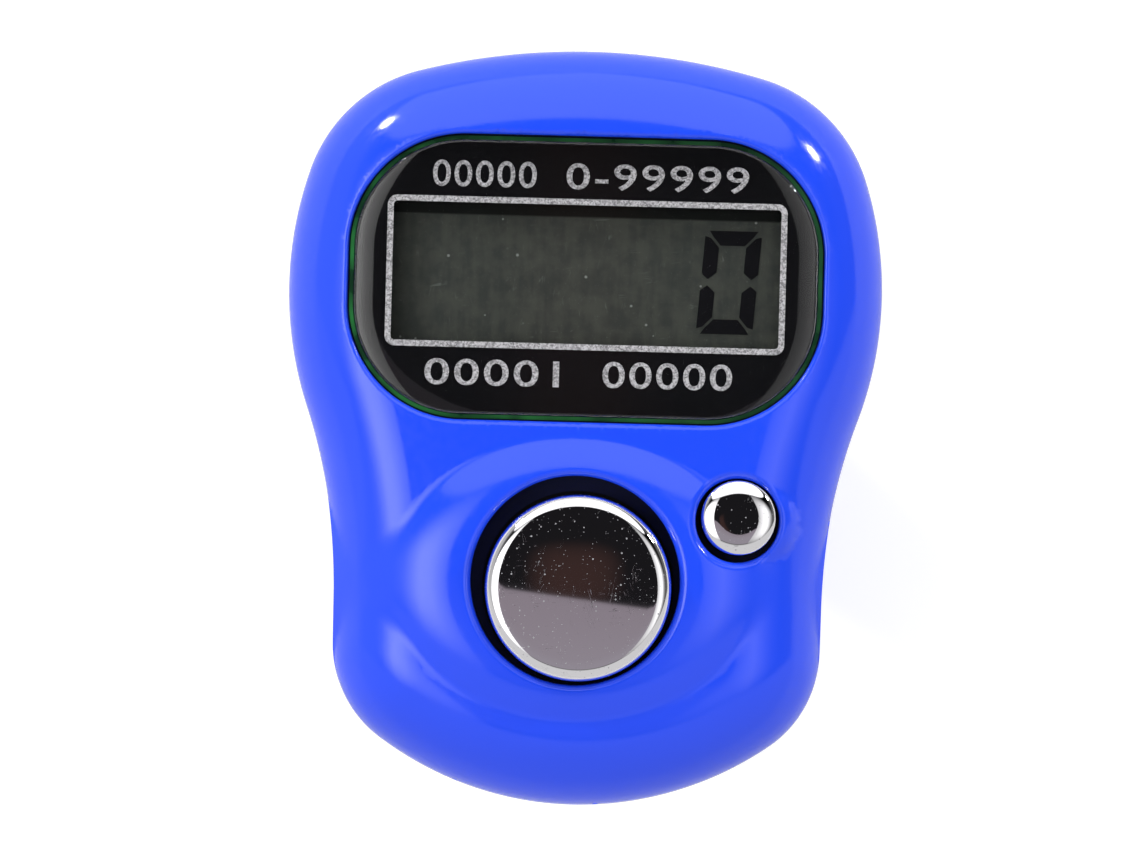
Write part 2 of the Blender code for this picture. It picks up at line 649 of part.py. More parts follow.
def make_rear_cover():
    cover = rear_blank()
    lip_inset = WALL + SEAT
    lip = prism("lip", outline(lip_inset), FLOOR_Z, PARTING_Z + LIP_HEIGHT, CUTTERS)
    join(cover, lip)
    inside = outline(lip_inset + LIP_THICKNESS)
    cut(cover, prism("rear_cavity", inside, FLOOR_Z, PARTING_Z + ABOVE, CUTTERS))
    ring_radius = BATTERY_RADIUS + BATTERY_CLEARANCE + BATTERY_RING_WALL
    ring_top = BATTERY_TOP_Z - 2 * CONTACT_SHEET
    battery_at = (0.0, BATTERY_Y)
    join(cover, cylinder("battery_ring", battery_at, ring_radius, FLOOR_Z - SEAT, ring_top, CUTTERS, 40))
    below, above = BACK_Z - ABOVE, PARTING_Z + ABOVE
    counterbore = SCREW_HEAD_RADIUS + SLIP
    post_top = BOARD_BOTTOM_Z - SEAT
    for name, at in SCREW_PLACES.items():
        join(cover, cylinder(name + "_post", at, BOSS_RADIUS, FLOOR_Z - SEAT, post_top, CUTTERS, 18))
        cut(cover, cylinder(name + "_hole", at, SCREW_HOLE_RADIUS, below, above, CUTTERS, 14))
        cut(cover, cylinder(name + "_sink", at, counterbore, below, SCREW_SEAT_Z, CUTTERS, 20))
    door_boss = cylinder("door_boss", DOOR_SCREW_AT, BOSS_RADIUS, FLOOR_Z - SEAT, BATTERY_TOP_Z, CUTTERS, 20)
    join(cover, door_boss)
    cut(cover, saddle_cutter("saddle"))
    cut(cover, prism("door_recess", door_outline(SLIP), below, DOOR_INNER_Z + SEAT / 2, CUTTERS))
    width, reach, thickness = DOOR_TONGUE
    cut(
        cover,
        box(
            "tongue_slot",
            (-width / 2 - SLIP, DOOR_BOTTOM - reach - 2 * SLIP, DOOR_INNER_Z - thickness - SLIP),
            (width / 2 + SLIP, DOOR_BOTTOM + SLIP, DOOR_INNER_Z + SEAT / 2),
            CUTTERS,
        ),
        cylinder(
            "battery_opening",
            battery_at,
            BATTERY_RADIUS + BATTERY_CLEARANCE,
            BACK_Z,
            BATTERY_TOP_Z + ABOVE,
            CUTTERS,
            40,
        ),
        box(
            "contact_notch",
            (-ring_radius - SEAT, BATTERY_Y - CONTACT_WIDTH / 2 - 2 * SLIP, FLOOR_Z),
            (-BATTERY_RADIUS, BATTERY_Y + CONTACT_WIDTH / 2 + 2 * SLIP, BATTERY_TOP_Z + ABOVE),
            CUTTERS,
        ),
        cylinder(
            "door_pilot",
            DOOR_SCREW_AT,
            SCREW_HOLE_RADIUS,
            BACK_Z,
            DOOR_SEAT_Z + DOOR_SCREW_LENGTH + 2 * SEAT,
            CUTTERS,
            16,
        ),
    )
    for side in (-1, 1):
        cut(cover, band_slot(side))
    return finish(cover, BLUE_GLOSS)


def saddle_cutter(name):
    """Finger saddle along the back: a shallow trough, part of a long cylinder."""
    bm = bmesh.new()
    bmesh.ops.create_cone(
        bm,
        cap_ends=True,
        segments=96,
        radius1=SADDLE_RADIUS,
        radius2=SADDLE_RADIUS,
        depth=2 * half_length() + 2 * ABOVE,
        matrix=Matrix.Rotation(math.pi / 2, 4, "X"),
    )
    return from_bmesh(name, bm, CUTTERS, (0, 0, BACK_Z + SADDLE_DEPTH - SADDLE_RADIUS))


def band_slot(side):
    half = BAND_THICKNESS / 2 + SLOT_CLEARANCE
    return box(
        f"band_slot_{'right' if side > 0 else 'left'}",
        (side * BAND_HALF_SPAN - half, BAND_Y - BAND_WIDTH / 2 - SLOT_CLEARANCE, BACK_Z - ABOVE),
        (side * BAND_HALF_SPAN + half, BAND_Y + BAND_WIDTH / 2 + SLOT_CLEARANCE, PARTING_Z),
        CUTTERS,
    )


# Display

def make_lens():
    """Clear window, bowed like the face, with a bevelled edge."""
    width = WINDOW_WIDTH - 2 * SLIP
    height = WINDOW_HEIGHT - 2 * SLIP
    corner = WINDOW_CORNER - SLIP

    def ring(inset, drop):
        bend = max(corner - inset, LENS_BEVEL)
        points = rounded_rectangle(width - 2 * inset, height - 2 * inset, bend, (0, WINDOW_Y), 7)
        return [(x, y, LENS_TOP_Z - drop - x * x / (2 * CROWN_RADIUS)) for x, y in points]

    foot = [(x, y, LENS_BOTTOM_Z) for x, y, _ in ring(0, 0)]
    rings = [
        foot,
        ring(0, LENS_BEVEL),
        ring(LENS_BEVEL * 0.3, LENS_BEVEL * 0.3),
        ring(LENS_BEVEL, 0),
        ring(height * 0.2, 0),
        ring(height * 0.35, 0),
        ring(height * 0.45, 0),
    ]
    return finish(loft("display_lens", rings), LENS_CLEAR)


def make_mask():
    """Black printed film behind the lens, open over the display."""
    outer = rounded_rectangle(
        WINDOW_WIDTH - 2 * SLIP, WINDOW_HEIGHT - 2 * SLIP, WINDOW_CORNER - SLIP, (0, WINDOW_Y), 7
    )
    mask = prism("window_mask", outer, MASK_TOP_Z - MASK_THICKNESS, MASK_TOP_Z)
    opening = rounded_rectangle(VIEW_WIDTH, VIEW_HEIGHT, VIEW_CORNER, (0, VIEW_Y), 4)
    cut(mask, prism("mask_opening", opening, CEILING_Z, FACE_Z, CUTTERS))
    return finish(mask, BLACK_PRINT)


def glass_box(name, top, thickness, inset=0.0, short=0.0):
    """Flat layer of the display. short is how much its contact edge is cut back."""
    return box(
        name,
        (-GLASS_WIDTH / 2 + inset, GLASS_Y - GLASS_HEIGHT / 2 + inset + short, top - thickness),
        (GLASS_WIDTH / 2 - inset, GLASS_Y + GLASS_HEIGHT / 2 - inset, top),
    )


def make_display():
    """Four flat layers: film, glass, glass, film. Only the front glass reaches to the contact edge."""
    front_film = glass_box("lcd_front_film", FRONT_FILM_TOP_Z, FILM_THICKNESS, FILM_INSET, CONTACT_LEDGE / 2)
    rear_film = glass_box("lcd_rear_film", REAR_FILM_TOP_Z, FILM_THICKNESS, FILM_INSET, CONTACT_LEDGE)
    front_glass = glass_box("lcd_front_glass", FRONT_GLASS_TOP_Z, GLASS_THICKNESS)
    rear_glass = glass_box("lcd_rear_glass", REAR_GLASS_TOP_Z, GLASS_THICKNESS, 0, CONTACT_LEDGE)
    for film in (front_film, rear_film):
        finish(film, DISPLAY_FILM)
    for glass in (front_glass, rear_glass):
        finish(glass, GLASS)


def make_holder():
    """Frame that stands on the board and carries the glass on three ledges, open below for the strip."""
    outer = (GLASS_WIDTH / 2 + SLIP + HOLDER_WALL, GLASS_HEIGHT / 2 + SLIP + HOLDER_WALL)
    pocket = (GLASS_WIDTH / 2 + SLIP, GLASS_HEIGHT / 2 + SLIP)
    foot, top = BOARD_TOP_Z + SEAT, FRONT_GLASS_TOP_Z
    shelf = REAR_FILM_BOTTOM_Z - SEAT
    holder = box("lcd_holder", (-outer[0], GLASS_Y - outer[1], foot), (outer[0], GLASS_Y + outer[1], top))
    cut(
        holder,
        box(
            "holder_pocket",
            (-pocket[0], GLASS_Y - pocket[1], shelf),
            (pocket[0], GLASS_Y + pocket[1], top + ABOVE),
            CUTTERS,
        ),
        box(
            "holder_well",
            (-pocket[0] + HOLDER_LEDGE, GLASS_Y - pocket[1] + SLIP, foot - ABOVE),
            (pocket[0] - HOLDER_LEDGE, GLASS_Y + pocket[1] - HOLDER_LEDGE, top),
            CUTTERS,
        ),
    )
    return finish(holder, WHITE_PLASTIC)


def make_zebra_strip():
    """Rubber connector between the board and the contact edge of the front glass."""
    edge = GLASS_Y - GLASS_HEIGHT / 2
    half = GLASS_WIDTH / 2 + SLIP - HOLDER_LEDGE - ZEBRA_END_GAP
    return finish(
        box(
            "zebra_strip",
            (-half, edge + SLIP, BOARD_TOP_Z + SEAT),
            (half, edge + SLIP + ZEBRA_DEPTH, FRONT_GLASS_TOP_Z - GLASS_THICKNESS - SEAT),
        ),
        SILICONE,
    )


# Board and switches

def make_board():
    board = prism("circuit_board", outline(BOARD_INSET), BOARD_BOTTOM_Z, BOARD_TOP_Z)
    hole = SCREW_HOLE_RADIUS + SLIP
    below, above = BOARD_BOTTOM_Z - ABOVE, BOARD_TOP_Z + ABOVE
    for name, at in SCREW_PLACES.items():
        cut(board, cylinder(name + "_clear", at, hole, below, above, CUTTERS, 14))
    return finish(board, BOARD_GREEN)


def make_board_parts():
    """Bonded chip under its drop of resin, and the two small parts beside it, all under the board."""
    under = BOARD_BOTTOM_Z - SEAT
    profile = [(0.0, under)]
    steps = 4
    for step in range(steps + 1):
        turn = math.pi / 2 * step / steps
        profile.append((GLOB_RADIUS * math.cos(turn), under - GLOB_HEIGHT * math.sin(turn)))
    finish(turned("chip_glob", COUNT_AT, profile, steps=20), BLACK_PLASTIC)
    length, width, height = CHIP_PART_SIZE
    for name, side, look in (("chip_capacitor", -1, SILICONE), ("chip_resistor", 1, BLACK_PLASTIC)):
        x = side * (GLOB_RADIUS + length)
        y = COUNT_AT[1]
        low = (x - width / 2, y - length / 2, under - height)
        finish(box(name, low, (x + width / 2, y + length / 2, under)), look)


def make_switch(name, at, side):
    """Push switch: moulded base, snap dome, sheet cover and plunger."""
    x, y = at
    base_bottom = BOARD_TOP_Z + SEAT
    cover_bottom = SWITCH_TOP_Z - COVER_THICKNESS
    cavity = side / 2 - SWITCH_WALL
    floor = base_bottom + SWITCH_FLOOR
    low_x, high_x = x - side / 2, x + side / 2
    low_y, high_y = y - side / 2, y + side / 2
    base = box(name + "_base", (low_x, low_y, base_bottom), (high_x, high_y, cover_bottom - SEAT / 2))
    cut(base, cylinder(name + "_cavity", at, cavity, floor, SWITCH_TOP_Z, CUTTERS, 24))
    finish(base, BLACK_PLASTIC)
    plunger_radius = cavity * PLUNGER_SHARE
    cover = box(name + "_cover", (low_x, low_y, cover_bottom), (high_x, high_y, SWITCH_TOP_Z))
    opening = plunger_radius + PLUNGER_CLEARANCE
    through = (cover_bottom - ABOVE, SWITCH_TOP_Z + ABOVE)
    cut(cover, cylinder(name + "_opening", at, opening, *through, CUTTERS, 24))
    finish(cover, SOLDER_METAL)
    dome_foot = floor + SEAT / 2
    dome_radius = cavity - 2 * SEAT
    dome = [(0.0, dome_foot + DOME_RISE + DOME_SHEET)]
    for share in (0.35, 0.7, 1.0):
        dome.append((dome_radius * share, dome_foot + DOME_SHEET + DOME_RISE * (1 - share * share)))
    for share in (1.0, 0.7, 0.35):
        dome.append((dome_radius * share, dome_foot + DOME_RISE * (1 - share * share)))
    dome.append((0.0, dome_foot + DOME_RISE))
    finish(turned(name + "_dome", at, dome, steps=16), STEEL)
    foot_bottom = dome_foot + DOME_RISE + DOME_SHEET + PLUNGER_TRAVEL + SWITCH_GAP
    foot_top = min(foot_bottom + PLUNGER_FOOT, cover_bottom - SEAT / 2)
    foot_radius = opening + PLUNGER_CLEARANCE
    plunger = [
        (0.0, PLUNGER_TOP_Z),
        (plunger_radius, PLUNGER_TOP_Z),
        (plunger_radius, foot_top),
        (foot_radius, foot_top),
        (foot_radius, foot_bottom),
        (0.0, foot_bottom),
    ]
    return finish(turned(name + "_plunger", at, plunger, steps=16), BLACK_PLASTIC)


# Buttons

def button_profile(radius, top, edge, dome, collar_radius, dome_steps):
    """Profile of a plated cap: domed top, round edge, flange under the case, and a boss over the switch."""
    flange = collar_radius + FLANGE_LIP
    flat = radius - edge
    profile = [(0.0, top)]
    for step in range(1, dome_steps + 1):
        share = step / dome_steps
        profile.append((flat * share, top - dome * share * share))
    start = math.degrees(math.atan(2 * dome / flat))
    shoulder = top - dome
    for step in range(1, 6):
        turn = math.radians(start + (90 - start) * step / 5)
        profile.append((flat + edge * math.sin(turn), shoulder - edge + edge * math.cos(turn)))
    roof = shoulder - max(edge, BUTTON_WALL)
    hollow = radius - BUTTON_WALL
    boss = min(BUTTON_BOSS_RADIUS, hollow * 0.5)
    profile += [
        (radius, FLANGE_TOP_Z),
        (flange, FLANGE_TOP_Z),
        (flange, FLANGE_BOTTOM_Z),
        (hollow, FLANGE_BOTTOM_Z),
        (hollow, roof),
        (boss, roof),
        (boss, FLANGE_BOTTOM_Z),
        (0.0, FLANGE_BOTTOM_Z),
    ]
    return profile


def make_buttons():
    count = button_profile(
        COUNT_RADIUS, FACE_Z + COUNT_TOP, COUNT_EDGE, COUNT_DOME, COUNT_RADIUS + COUNT_COLLAR_GAP, 2
    )
    finish(turned("count_button", COUNT_AT, count, steps=36), CHROME)
    reset = button_profile(
        RESET_RADIUS, FACE_Z + RESET_TOP, RESET_EDGE, RESET_DOME, RESET_RADIUS + RESET_COLLAR_GAP, 3
    )
    finish(turned("reset_button", RESET_AT, reset, steps=24), CHROME)


# Battery

def door_outline(grow=0.0):
    return rounded_rectangle(
        2 * (DOOR_HALF_WIDTH + grow),
        DOOR_TOP - DOOR_BOTTOM + 2 * grow,
        DOOR_CORNER + grow,
        (0, (DOOR_TOP + DOOR_BOTTOM) / 2),
        4,
    )


def make_battery():
    """Button cell: the wide positive can below, the smaller negative cap on top."""
    step_z = BATTERY_TOP_Z - BATTERY_STEP
    cap = BATTERY_RADIUS - BATTERY_CAP_INSET
    edge = 0.25 * MM
    profile = [
        (0.0, BATTERY_TOP_Z),
        (cap - edge, BATTERY_TOP_Z),
        (cap, BATTERY_TOP_Z - edge),
        (cap, step_z),
        (BATTERY_RADIUS - edge, step_z),
        (BATTERY_RADIUS, step_z - edge),
        (BATTERY_RADIUS, BATTERY_BOTTOM_Z + edge),
        (BATTERY_RADIUS - edge, BATTERY_BOTTOM_Z),
        (0.0, BATTERY_BOTTOM_Z),
    ]
    finish(turned("battery_cell", (0.0, BATTERY_Y), profile, steps=32), NICKEL)


def make_contacts():
    """Sheet contacts under the board: one dips to the cell's cap, one runs down beside its can."""
    half = CONTACT_SHEET / 2
    foot_z = BOARD_BOTTOM_Z - SEAT - half
    touch_z = BATTERY_TOP_Z + SEAT + half
    outer = BATTERY_RADIUS + BATTERY_CLEARANCE
    negative = [
        (outer + CONTACT_FOOT, foot_z),
        (outer, foot_z),
        (BATTERY_RADIUS / 3, touch_z),
        (-BATTERY_RADIUS / 6, touch_z),
        (-BATTERY_RADIUS / 3, (touch_z + foot_z) / 2),
    ]
    leg = -(BATTERY_RADIUS + SEAT + 2 * half)
    positive = [
        (-outer - CONTACT_FOOT, foot_z),
        (leg - half, foot_z),
        (leg, touch_z),
        (leg, FLOOR_Z + BATTERY_HEIGHT / 3),
        (leg + half, FLOOR_Z + BATTERY_HEIGHT / 6),
        (leg, FLOOR_Z + SEAT),
    ]
    for name, path in (("battery_negative_contact", negative), ("battery_positive_contact", positive)):
        finish(bent_strip(name, path, CONTACT_WIDTH, CONTACT_SHEET, BATTERY_Y), NICKEL)


def make_door():
    """Battery door: a plate in the saddle, hooked by a tongue and held by one screw."""
    door = prism("battery_door", door_outline(), BACK_Z, DOOR_INNER_Z)
    width, reach, thickness = DOOR_TONGUE
    join(
        door,
        box(
            "tongue",
            (-width / 2, DOOR_BOTTOM - reach, DOOR_INNER_Z - thickness),
            (width / 2, DOOR_BOTTOM + WALL, DOOR_INNER_Z),
            CUTTERS,
        ),
    )
    grip_depth = BACK_Z + SADDLE_DEPTH + GRIP_DEPTH
    grips = []
    for step in (-1, 0, 1):
        y = BATTERY_Y + step * GRIP_PITCH
        low = (-GRIP_LENGTH / 2, y - GRIP_WIDTH / 2, BACK_Z - ABOVE)
        grips.append(box(f"grip_{step + 1}", low, (GRIP_LENGTH / 2, y + GRIP_WIDTH / 2, grip_depth), CUTTERS))
    cut(
        door,
        saddle_cutter("door_saddle"),
        cylinder("door_hole", DOOR_SCREW_AT, SCREW_HOLE_RADIUS, BACK_Z, DOOR_INNER_Z + ABOVE, CUTTERS, 16),
        cylinder(
            "door_sink",
            DOOR_SCREW_AT,
            SCREW_HEAD_RADIUS + SLIP,
            BACK_Z - ABOVE,
            DOOR_SEAT_Z,
            CUTTERS,
            20,
        ),
        *grips,
    )
    return finish(door, BLUE_GLOSS)


# Screws

def make_screw(name, at, seat_z, tip_z):
    """Pan-head screw driven from behind: head below its seat, point upwards, cross in the head."""
    head_bottom = seat_z - SEAT - SCREW_HEAD_HEIGHT
    profile = [
        (0.0, tip_z),
        (SCREW_RADIUS * 0.4, tip_z),
        (SCREW_RADIUS, tip_z - SCREW_RADIUS),
        (SCREW_RADIUS, seat_z - SEAT),
        (SCREW_HEAD_RADIUS, seat_z - SEAT),
        (SCREW_HEAD_RADIUS, head_bottom + SCREW_HEAD_HEIGHT / 2),
        (SCREW_HEAD_RADIUS * 0.8, head_bottom + SCREW_HEAD_HEIGHT * 0.12),
        (0.0, head_bottom),
    ]
    screw = turned(name, at, profile, steps=12)
    reach = SCREW_HEAD_RADIUS * 0.6
    half = CROSS_WIDTH / 2
    for index, (dx, dy) in enumerate(((reach, half), (half, reach))):
        cut(
            screw,
            box(
                f"{name}_cross_{index}",
                (at[0] - dx, at[1] - dy, head_bottom - ABOVE),
                (at[0] + dx, at[1] + dy, head_bottom + CROSS_DEPTH),
                CUTTERS,
            ),
        )
    return finish(screw, STEEL)


def make_screws():
    for name, at in SCREW_PLACES.items():
        make_screw(name, at, SCREW_SEAT_Z, BOARD_TOP_Z + SCREW_BITE)
    make_screw("battery_door_screw", DOOR_SCREW_AT, DOOR_SEAT_Z, DOOR_SEAT_Z + DOOR_SCREW_LENGTH)


# Finger band

def band_line():
    """Middle line of the right half of the loop, from the flat up through the slot into the case."""
    centre_x = BAND_HALF_SPAN - BAND_BEND
    centre_z = BAND_THICKNESS / 2 + BAND_BEND
    steps = 10
    points = []
    for step in range(steps + 1):
        turn = math.pi / 2 * step / steps
        points.append((centre_x + BAND_BEND * math.sin(turn), centre_z - BAND_BEND * math.cos(turn)))
    return points + [(BAND_HALF_SPAN, BACK_Z), (BAND_HALF_SPAN, BAND_HEAD_Z + BAND_HEAD_THICKNESS / 2)]


def band_rib(name, side, z):
    """Rib across the outside of a leg, which holds the band in its slot once it is pulled through."""
    half_width = BAND_WIDTH / 2 - BAND_RIB_MARGIN
    rib = cylinder(name, (0, 0), BAND_RIB_HEIGHT, -half_width, half_width, CUTTERS, 10)
    rib.location = (side * (BAND_HALF_SPAN + BAND_THICKNESS / 2), BAND_Y, z)
    rib.rotation_euler.x = math.pi / 2
    return rib


def make_band():
    """Soft band: a loop with a flat below, through a slot each side, with a wide head inside the case."""
    right = band_line()
    left = [(-x, z) for x, z in reversed(right)]
    band = bent_strip("finger_band", left + right, BAND_WIDTH, BAND_THICKNESS, BAND_Y)
    half_x = BAND_THICKNESS / 2 + BAND_HEAD_LIP
    half_y = BAND_WIDTH / 2 + BAND_HEAD_EAR
    for side, hand in ((-1, "left"), (1, "right")):
        for rib in range(BAND_RIBS):
            z = BACK_Z - (rib + 1) * BAND_RIB_PITCH
            join(band, band_rib(f"band_rib_{hand}_{rib}", side, z))
        x = side * BAND_HALF_SPAN
        join(
            band,
            box(
                f"band_head_{hand}",
                (x - half_x, BAND_Y - half_y, BAND_HEAD_Z),
                (x + half_x, BAND_Y + half_y, BAND_HEAD_Z + BAND_HEAD_THICKNESS),
                CUTTERS,
            ),
        )
    return finish(band, BLUE_SOFT)


def add_joint_axes():
    """Empties on the axis of each button, with what travels along it."""
    for name, at, button, plunger in (
        ("count_axis", COUNT_AT, "count_button", "count_switch_plunger"),
        ("reset_axis", RESET_AT, "reset_button", "reset_switch_plunger"),
    ):
        axis = bpy.data.objects.new(name, None)
        PIECES.objects.link(axis)
        axis.location = (*at, 0)
        axis.empty_display_size = COUNT_RADIUS
        for piece in (button, plunger):
            bpy.data.objects[piece].parent = axis
            bpy.data.objects[piece].location = (0, 0, 0)


make_front_shell()
make_rear_cover()
make_lens()
make_mask()
make_display()
make_holder()
make_zebra_strip()
make_board()
make_board_parts()
make_switch("count_switch", COUNT_AT, COUNT_SWITCH_SIDE)
make_switch("reset_switch", RESET_AT, RESET_SWITCH_SIDE)
make_buttons()
make_battery()
make_contacts()
make_door()
make_screws()
make_band()
add_joint_axes()
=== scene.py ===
"""Looks of the digital finger counter: glossy blue case, black window with a display, chrome buttons.

Laid out as an add-on, and run as a script. Every size is in metres, in the frame of the loaded model.
"""

import math

import bmesh
import bpy
import numpy as np
from bpy.props import FloatProperty, FloatVectorProperty, IntProperty, PointerProperty
from mathutils import Euler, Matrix, Vector, geometry, kdtree


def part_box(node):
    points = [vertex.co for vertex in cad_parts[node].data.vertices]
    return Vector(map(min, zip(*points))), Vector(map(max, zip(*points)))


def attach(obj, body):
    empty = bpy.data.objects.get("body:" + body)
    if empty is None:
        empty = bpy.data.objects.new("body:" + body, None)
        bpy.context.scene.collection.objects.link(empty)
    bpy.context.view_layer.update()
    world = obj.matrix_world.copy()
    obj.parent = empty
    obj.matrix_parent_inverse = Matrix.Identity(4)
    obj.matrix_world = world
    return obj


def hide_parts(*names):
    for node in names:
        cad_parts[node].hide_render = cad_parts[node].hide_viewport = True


bl_info = {
    "name": "Finger counter looks",
    "version": (1, 0, 0),
    "blender": (4, 5, 0),
    "location": "View3D > Sidebar > Counter",
    "description": "Builds the visible skins, print, display and finishes of a finger counter",
    "category": "Object",
}

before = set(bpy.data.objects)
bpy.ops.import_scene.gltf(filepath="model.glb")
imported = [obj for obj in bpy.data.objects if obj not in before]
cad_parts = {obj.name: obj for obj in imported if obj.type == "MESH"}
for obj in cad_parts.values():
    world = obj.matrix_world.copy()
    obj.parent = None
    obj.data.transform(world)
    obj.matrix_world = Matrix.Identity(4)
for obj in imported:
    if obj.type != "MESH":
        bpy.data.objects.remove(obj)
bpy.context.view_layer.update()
MM = 0.001
_, SKIN_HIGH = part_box("front_shell")
COVER_LOW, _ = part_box("rear_cover")
LENS_LOW, LENS_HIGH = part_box("display_lens")
MASK_LOW, MASK_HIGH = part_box("window_mask")
FILM_LOW, FILM_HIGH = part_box("lcd_front_film")
COUNT_LOW, COUNT_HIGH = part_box("count_button")
RESET_LOW, RESET_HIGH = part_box("reset_button")
DOOR_LOW, DOOR_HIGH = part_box("battery_door")
BAND_LOW, BAND_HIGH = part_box("finger_band")
CASE, COUNT_KEY, RESET_KEY = "case", "count_key", "reset_key"
CASE_SCREWS = tuple(f"case_screw_{row}_{side}" for row in ("upper", "lower") for side in ("left", "right"))

# How far the door's tongue and the lips of the band's heads reach past what shows of them
DOOR_TONGUE_REACH = 0.8 * MM
BAND_LIP = 0.8 * MM

# Heights on which the hidden pieces of the case rest
DOOR_SEAT = 16.25 * MM
CASE_SCREW_SEAT = 16.3 * MM
DOOR_SCREW_SEAT = 16.25 * MM
DOOR_INSIDE = 16.7 * MM
GRIP_FLOOR = 16.1 * MM
BAND_HEAD = 18.2 * MM

# The door's opening and the ledge in it
DOOR_GAP = 0.15 * MM
DOOR_LEDGE = 0.7 * MM
DOOR_CORNER = 2.0 * MM

# Screw sinks, and the groove that shows as a line between front and back
SINK_RADIUS = 1.4 * MM
SINK_LEDGE = 0.7 * MM
SEAM = 0.12 * MM

# Spacing of points along the outlines and over the faces
EDGE_SPACING = 0.33 * MM
FACE_SPACING = 0.24 * MM
BACK_SPACING = 0.5 * MM


def middle(low, high, axis):
    return (low[axis] + high[axis]) / 2


# Sizes and colours that a user may change


def length(name, description, default):
    return FloatProperty(name=name, description=description, default=default, unit="LENGTH", precision=5)


def angle(name, description, degrees):
    return FloatProperty(name=name, description=description, default=math.radians(degrees), subtype="ANGLE")


def colour(name, description, default):
    return FloatVectorProperty(
        name=name, description=description, default=default, subtype="COLOR", min=0, max=1, size=3
    )


class CounterCase(bpy.types.PropertyGroup):
    """Form of the case"""

    top_radius: length("Top radius", "Bend of the top edge", 33.7 * MM)
    top_turn: angle("Top turn", "How far the top edge turns on each side of its middle", 15)
    shoulder_radius: length("Shoulder radius", "Bend of the shoulders", 7.8 * MM)
    shoulder_turn: angle("Shoulder turn", "How far a shoulder turns", 56.5)
    side_radius: length("Side radius", "Bend of the sides under the shoulders", 18.6 * MM)
    side_turn: angle("Side turn", "How far a side turns", 38)
    waist_radius: length("Waist radius", "Hollow bend of the waist", 29.0 * MM)
    flank: length("Flank", "Straight stretch below the waist", 2.25 * MM)
    corner_radius: length("Corner radius", "Bend of the lower corners", 5.75 * MM)
    corner_turn: angle("Corner turn", "How far a lower corner turns", 54.5)
    wall: length("Wall", "Thickness of the case", 1.2 * MM)
    rim_depth: length("Rim depth", "How far in the face starts to round over", 4.4 * MM)
    rim_height: length("Rim height", "How far down the face rounds over", 4.0 * MM)
    crown_radius: length("Crown radius", "Bow of the face from side to side", 80.0 * MM)
    parting: length("Parting line", "Height of the line between front and back", 19.8 * MM)
    face: length("Face", "Height of the middle of the face", 26.8 * MM)
    ceiling: length("Ceiling", "Height of the front's flat inside", 24.65 * MM)
    hole_edge: length("Window edge", "Rounding of the window opening's edge", 0.28 * MM)
    key_edge: length("Key edge", "Rounding of the edges of the buttons' holes", 0.42 * MM)
    back_edge_depth: length("Back edge depth", "How far in the back starts to round over", 2.2 * MM)
    back_edge_height: length("Back edge height", "How far up the back rounds over", 3.0 * MM)
    back_floor: length("Back floor", "Height of the back's inside", 17.4 * MM)
    saddle_radius: length("Saddle radius", "Hollow of the back where it sits on a finger", 20.0 * MM)
    saddle_depth: length("Saddle depth", "Depth of that hollow", 0.8 * MM)
    blend: length("Blend", "How softly the mounds meet the face", 0.16 * MM)
    band: length("Band", "Thickness of the finger band", 1.1 * MM)
    band_width: length("Band width", "Width of the finger band", 8.0 * MM)


class CounterKeys(bpy.types.PropertyGroup):
    """Form of the two buttons and the mounds round them"""

    mouth: length("Mouth radius", "Hole round the count button", 5.25 * MM)
    off_centre: FloatVectorProperty(
        name="Off centre",
        description="How far the count button sits off the middle of its hole",
        default=(0.15 * MM, -0.35 * MM),
        size=2,
        subtype="TRANSLATION",
        unit="LENGTH",
    )
    reset_off_centre: FloatVectorProperty(
        name="Reset off centre",
        description="How far the reset button sits off the middle of its hole",
        default=(0.05 * MM, 0.15 * MM),
        size=2,
        subtype="TRANSLATION",
        unit="LENGTH",
    )
    mouth_floor: length("Mouth floor", "Height of the step inside the holes", 25.05 * MM)
    mound_across: length("Mound across", "Half width of the count mound's flat top", 5.67 * MM)
    mound_along: length("Mound along", "Half length of the count mound's flat top", 4.5 * MM)
    mound_rise: length("Mound rise", "Height of the count mound over the face", 0.6 * MM)
    mound_bend: length("Mound bend", "Radius at which the count mound falls away", 5.5 * MM)
    reset_mouth: length("Reset mouth radius", "Hole round the reset button", 2.1 * MM)
    reset_mound: length("Reset mound radius", "Round swelling of the reset button", 3.25 * MM)
    reset_rise: length("Reset mound rise", "Height of the reset mound above its middle", 2.2 * MM)
    reset_sunk: length("Reset mound sunk", "Depth of the reset mound's middle under the face", 2.2 * MM)
    count_cap: length("Count cap radius", "Radius of the count cap", 4.68 * MM)
    count_edge: length("Count cap edge", "Rounding of the count cap's edge", 0.66 * MM)
    count_dome: length("Count cap dome", "Rise of the count cap's middle", 0.15 * MM)
    reset_cap: length("Reset cap radius", "Radius of the reset cap", 1.88 * MM)
    reset_edge: length("Reset cap edge", "How far in the reset cap's edge starts to round over", 1.1 * MM)
    reset_edge_drop: length("Reset cap edge drop", "How far down the reset cap's edge goes", 0.42 * MM)
    reset_dome: length("Reset cap dome", "Rise of the reset cap's middle", 0.02 * MM)
    reset_low: length("Reset cap low", "How far the reset cap's top lies below the CAD button's", 0.07 * MM)


